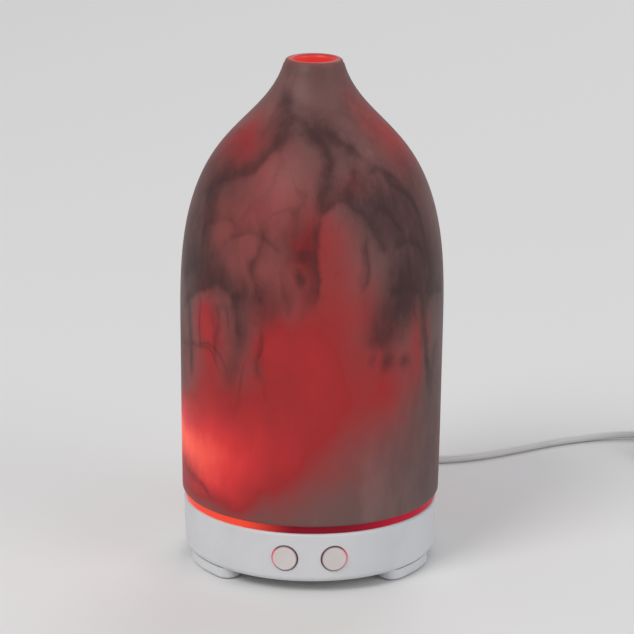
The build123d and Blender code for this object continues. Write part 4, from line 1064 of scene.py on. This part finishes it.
finishes = {"cordWhite": cordWhite, "tankFrost": tankFrost}
mouldings = [  # name, colour, roughness, grain, bump, dust, seed
    ("baseWhite", (212, 213, 215), 0.42, 1.3, 0.12, 0.05, 1.0),
    ("coverWhite", (216, 218, 220), 0.48, 1.4, 0.14, 0.10, 2.0),
    ("padRubber", (176, 177, 178), 0.7, 2.2, 0.25, 0.25, 3.0),
    ("sealSilicone", (214, 208, 200), 0.5, 1.5, 0.08, 0.05, 5.0),
    ("clampPlastic", (208, 207, 203), 0.45, 1.2, 0.10, 0.05, 6.0),
    ("componentBlack", (38, 38, 40), 0.5, 0.8, 0.10, 0.03, 7.0),
    ("fanBlack", (34, 35, 37), 0.42, 1.0, 0.10, 0.08, 8.0),
    ("connectorIvory", (226, 218, 198), 0.4, 1.0, 0.06, 0.03, 9.0),
    ("usbInsulator", (236, 236, 234), 0.4, 1.0, 0.05, 0.02, 10.0),
    ("wireRed", (168, 34, 30), 0.4, 1.0, 0.04, 0.03, 13.0),
]
for name, colour, *numbers in mouldings:
    finishes[name] = mouldedPlastic(name, screenColour(*colour), *numbers)


# Plated or brushed metal with fine scratches along one way.
def makeMetal(name, colour, roughness, brushed, seed):
    material, tree, shader = newMaterial(name)
    place = tree.objectPlace()
    scratches = tree.noise(tree.stretched(place, (1, brushed, 1)), 900.0, 3.0, 0.6, seed)
    broad = tree.noise(place, 120.0, 3.0, 0.5, seed)
    darker = tuple(channel * 0.78 for channel in colour[:3]) + (1,)
    tree.fill(shader, {
        "Base Color": tree.mix(tree.spread(broad, 0.3, 0.7), darker, colour),
        "Metallic": 1.0,
        "Roughness": tree.spread(scratches, 0.3, 0.7, roughness - 0.07, roughness + 0.09),
    })
    tree.bump(shader, 0.05, 0.0001, scratches)
    return material


metals = [  # name, colour, roughness, brushing, seed
    ("screwSteel", (0.62, 0.62, 0.64, 1), 0.32, 0.3, 1.0),
    ("transducerBrass", (0.76, 0.56, 0.26, 1), 0.26, 0.2, 2.0),
    ("canAluminium", (0.72, 0.73, 0.75, 1), 0.3, 0.1, 3.0),
    ("usbNickel", (0.74, 0.73, 0.71, 1), 0.24, 0.25, 4.0),
]
for name, *facts in metals:
    finishes[name] = makeMetal(name, *facts)


# Solder mask over copper tracks that run square to each other.
def makeBoardGreen():
    material, tree, shader = newMaterial("boardGreen")
    place = tree.objectPlace()
    pattern = {"Scale": 320.0, "Mortar Size": 0.055, "Mortar Smooth": 0.1, "Brick Width": 1.9,
               "Row Height": 0.42, "Vector": place}
    cells = tree.make("ShaderNodeTexBrick", pattern, offset=0.37, squash=1.6, squash_frequency=3)
    tracks = cells.outputs["Fac"]
    cloud = tree.noise(place, 60.0, 3.0, 0.5, 3.0)
    mask = tree.mix(cloud, screenColour(20, 74, 42), screenColour(26, 86, 50))
    colour = tree.mix(tracks, mask, screenColour(52, 120, 70))
    tree.fill(shader, {"Base Color": colour, "Roughness": tree.spread(cloud, 0.3, 0.7, 0.26, 0.38)})
    tree.bump(shader, 0.3, 0.00005, tracks)
    return material


# Hook-and-loop strap: a close pile of loops.
def makeTieFabric():
    material, tree, shader = newMaterial("tieFabric")
    place = tree.objectPlace()
    loops = tree.make("ShaderNodeTexVoronoi", {"Scale": 2400.0, "Vector": place})
    cloud = tree.noise(place, 300.0, 3.0, 0.6, 2.0)
    tree.fill(shader, {
        "Base Color": tree.mix(cloud, screenColour(34, 34, 37), screenColour(58, 58, 62)),
        "Roughness": tree.spread(cloud, 0.3, 0.7, 0.82, 0.96),
        "Sheen Weight": 0.4,
    })
    tree.bump(shader, 0.7, 0.0002, loops.outputs["Distance"])
    return material


# Pale domes of the lights, glowing red.
def makeLens():
    material, tree, shader = newMaterial("ledLens")
    cloud = tree.noise(tree.objectPlace(), 500.0, 2.0, 0.5, 6.0)
    colour = tree.mix(cloud, screenColour(238, 222, 196), screenColour(250, 236, 214))
    tree.fill(shader, {"Base Color": colour, "Roughness": tree.spread(cloud, 0.3, 0.7, 0.12, 0.22)})
    tree.glow(shader, tree.mix(cloud, (1.0, 0.10, 0.05, 1), (1.0, 0.22, 0.12, 1)))
    return material


finishes["boardGreen"] = makeBoardGreen()
finishes["tieFabric"] = makeTieFabric()
finishes["ledLens"] = makeLens()

giveMaterial(usbShell, finishes["usbNickel"])
giveMaterial(coilTie, finishes["tieFabric"])
giveMaterial(coilTie, finishes["tieFabric"])
worn = {
    "baseWhite": ["base_housing"],
    "coverWhite": ["bottom_cover"],
    "padRubber": ["foot_pads"],
    "sealSilicone": ["deck_gasket", "transducer_seal"],
    "clampPlastic": ["clamp_plate"],
    "componentBlack": ["driver_chip", "button_switches", "dc_socket", "inductor"],
    "fanBlack": ["fan_frame", "fan_rotor"],
    "connectorIvory": ["board_connector"],
    "usbInsulator": ["usb_tongue"],
    "wireRed": ["disc_lead", "led_lead", "fan_lead", "socket_lead"],
    "cordWhite": ["dc_plug", "usb_plug"],
    "tankFrost": ["water_tank", "tower_cap", "air_duct"],
    "screwSteel": ["housing_screws", "tank_screws", "clamp_screws", "led_screws", "board_screws"],
    "transducerBrass": ["transducer_disc"],
    "canAluminium": ["capacitor"],
    "boardGreen": ["led_board", "main_board"],
    "ledLens": ["leds"],
}
for finish, names in worn.items():
    for name in names:
        for slot in nodes[name].material_slots:
            slot.material = finishes[finish]
print("finishes given to", sum(map(len, worn.values())), "kept pieces")


buttons = {
    "height": 12.75, "angles": {"mist_button": 259.0, "light_button": 281.0},
    "rim": (3.7, 4.35), "brightPart": (2.2, 4.3), "glow": (0.66, 0.0, 0.06),
}


# White plastic with painted shade, tinted dusky red, round its rim, and a painted red glow on one side of the
# rim.
def makeButtonWhite(name, angle, brightSide):
    material, tree, shader = newMaterial(name)
    values = {"Colour": screenColour(212, 205, 202), "Roughness": 0.4, "Dust": 0.04, "Seed": angle}
    finish = tree.group(mouldGrain, values)
    parts = tree.make("ShaderNodeSeparateXYZ", {"Vector": tree.objectPlace()}).outputs
    turn = math.radians(angle)
    sideways = tree.times(parts["X"], -math.sin(turn) * 1000)
    sideways = tree.math("MULTIPLY_ADD", parts["Y"], math.cos(turn) * 1000, sideways)
    upwards = tree.math("MULTIPLY_ADD", parts["Z"], 1000.0, -buttons["height"])
    square = tree.plus(tree.math("POWER", sideways, 2.0), tree.math("POWER", upwards, 2.0))
    edge = tree.spread(tree.math("SQRT", square), *buttons["rim"])
    side = tree.spread(tree.times(sideways, brightSide), *buttons["brightPart"])
    # Painted shade darkens the rim toward dusky red; painted red glow lights the rim on the bright side.
    shaded = tree.mix(edge, finish["Colour"], screenColour(112, 62, 64))
    tree.fill(shader, {"Base Color": shaded, "Roughness": finish["Roughness"]})
    tree.glow(shader, buttons["glow"], tree.times(edge, side))
    return material


for name, angle in buttons["angles"].items():
    finish = makeButtonWhite(name.replace("_b", "B") + "White", angle, -1.0 if name == "mist_button" else 1.0)
    for slot in nodes[name].material_slots:
        slot.material = finish
print("buttons finished")
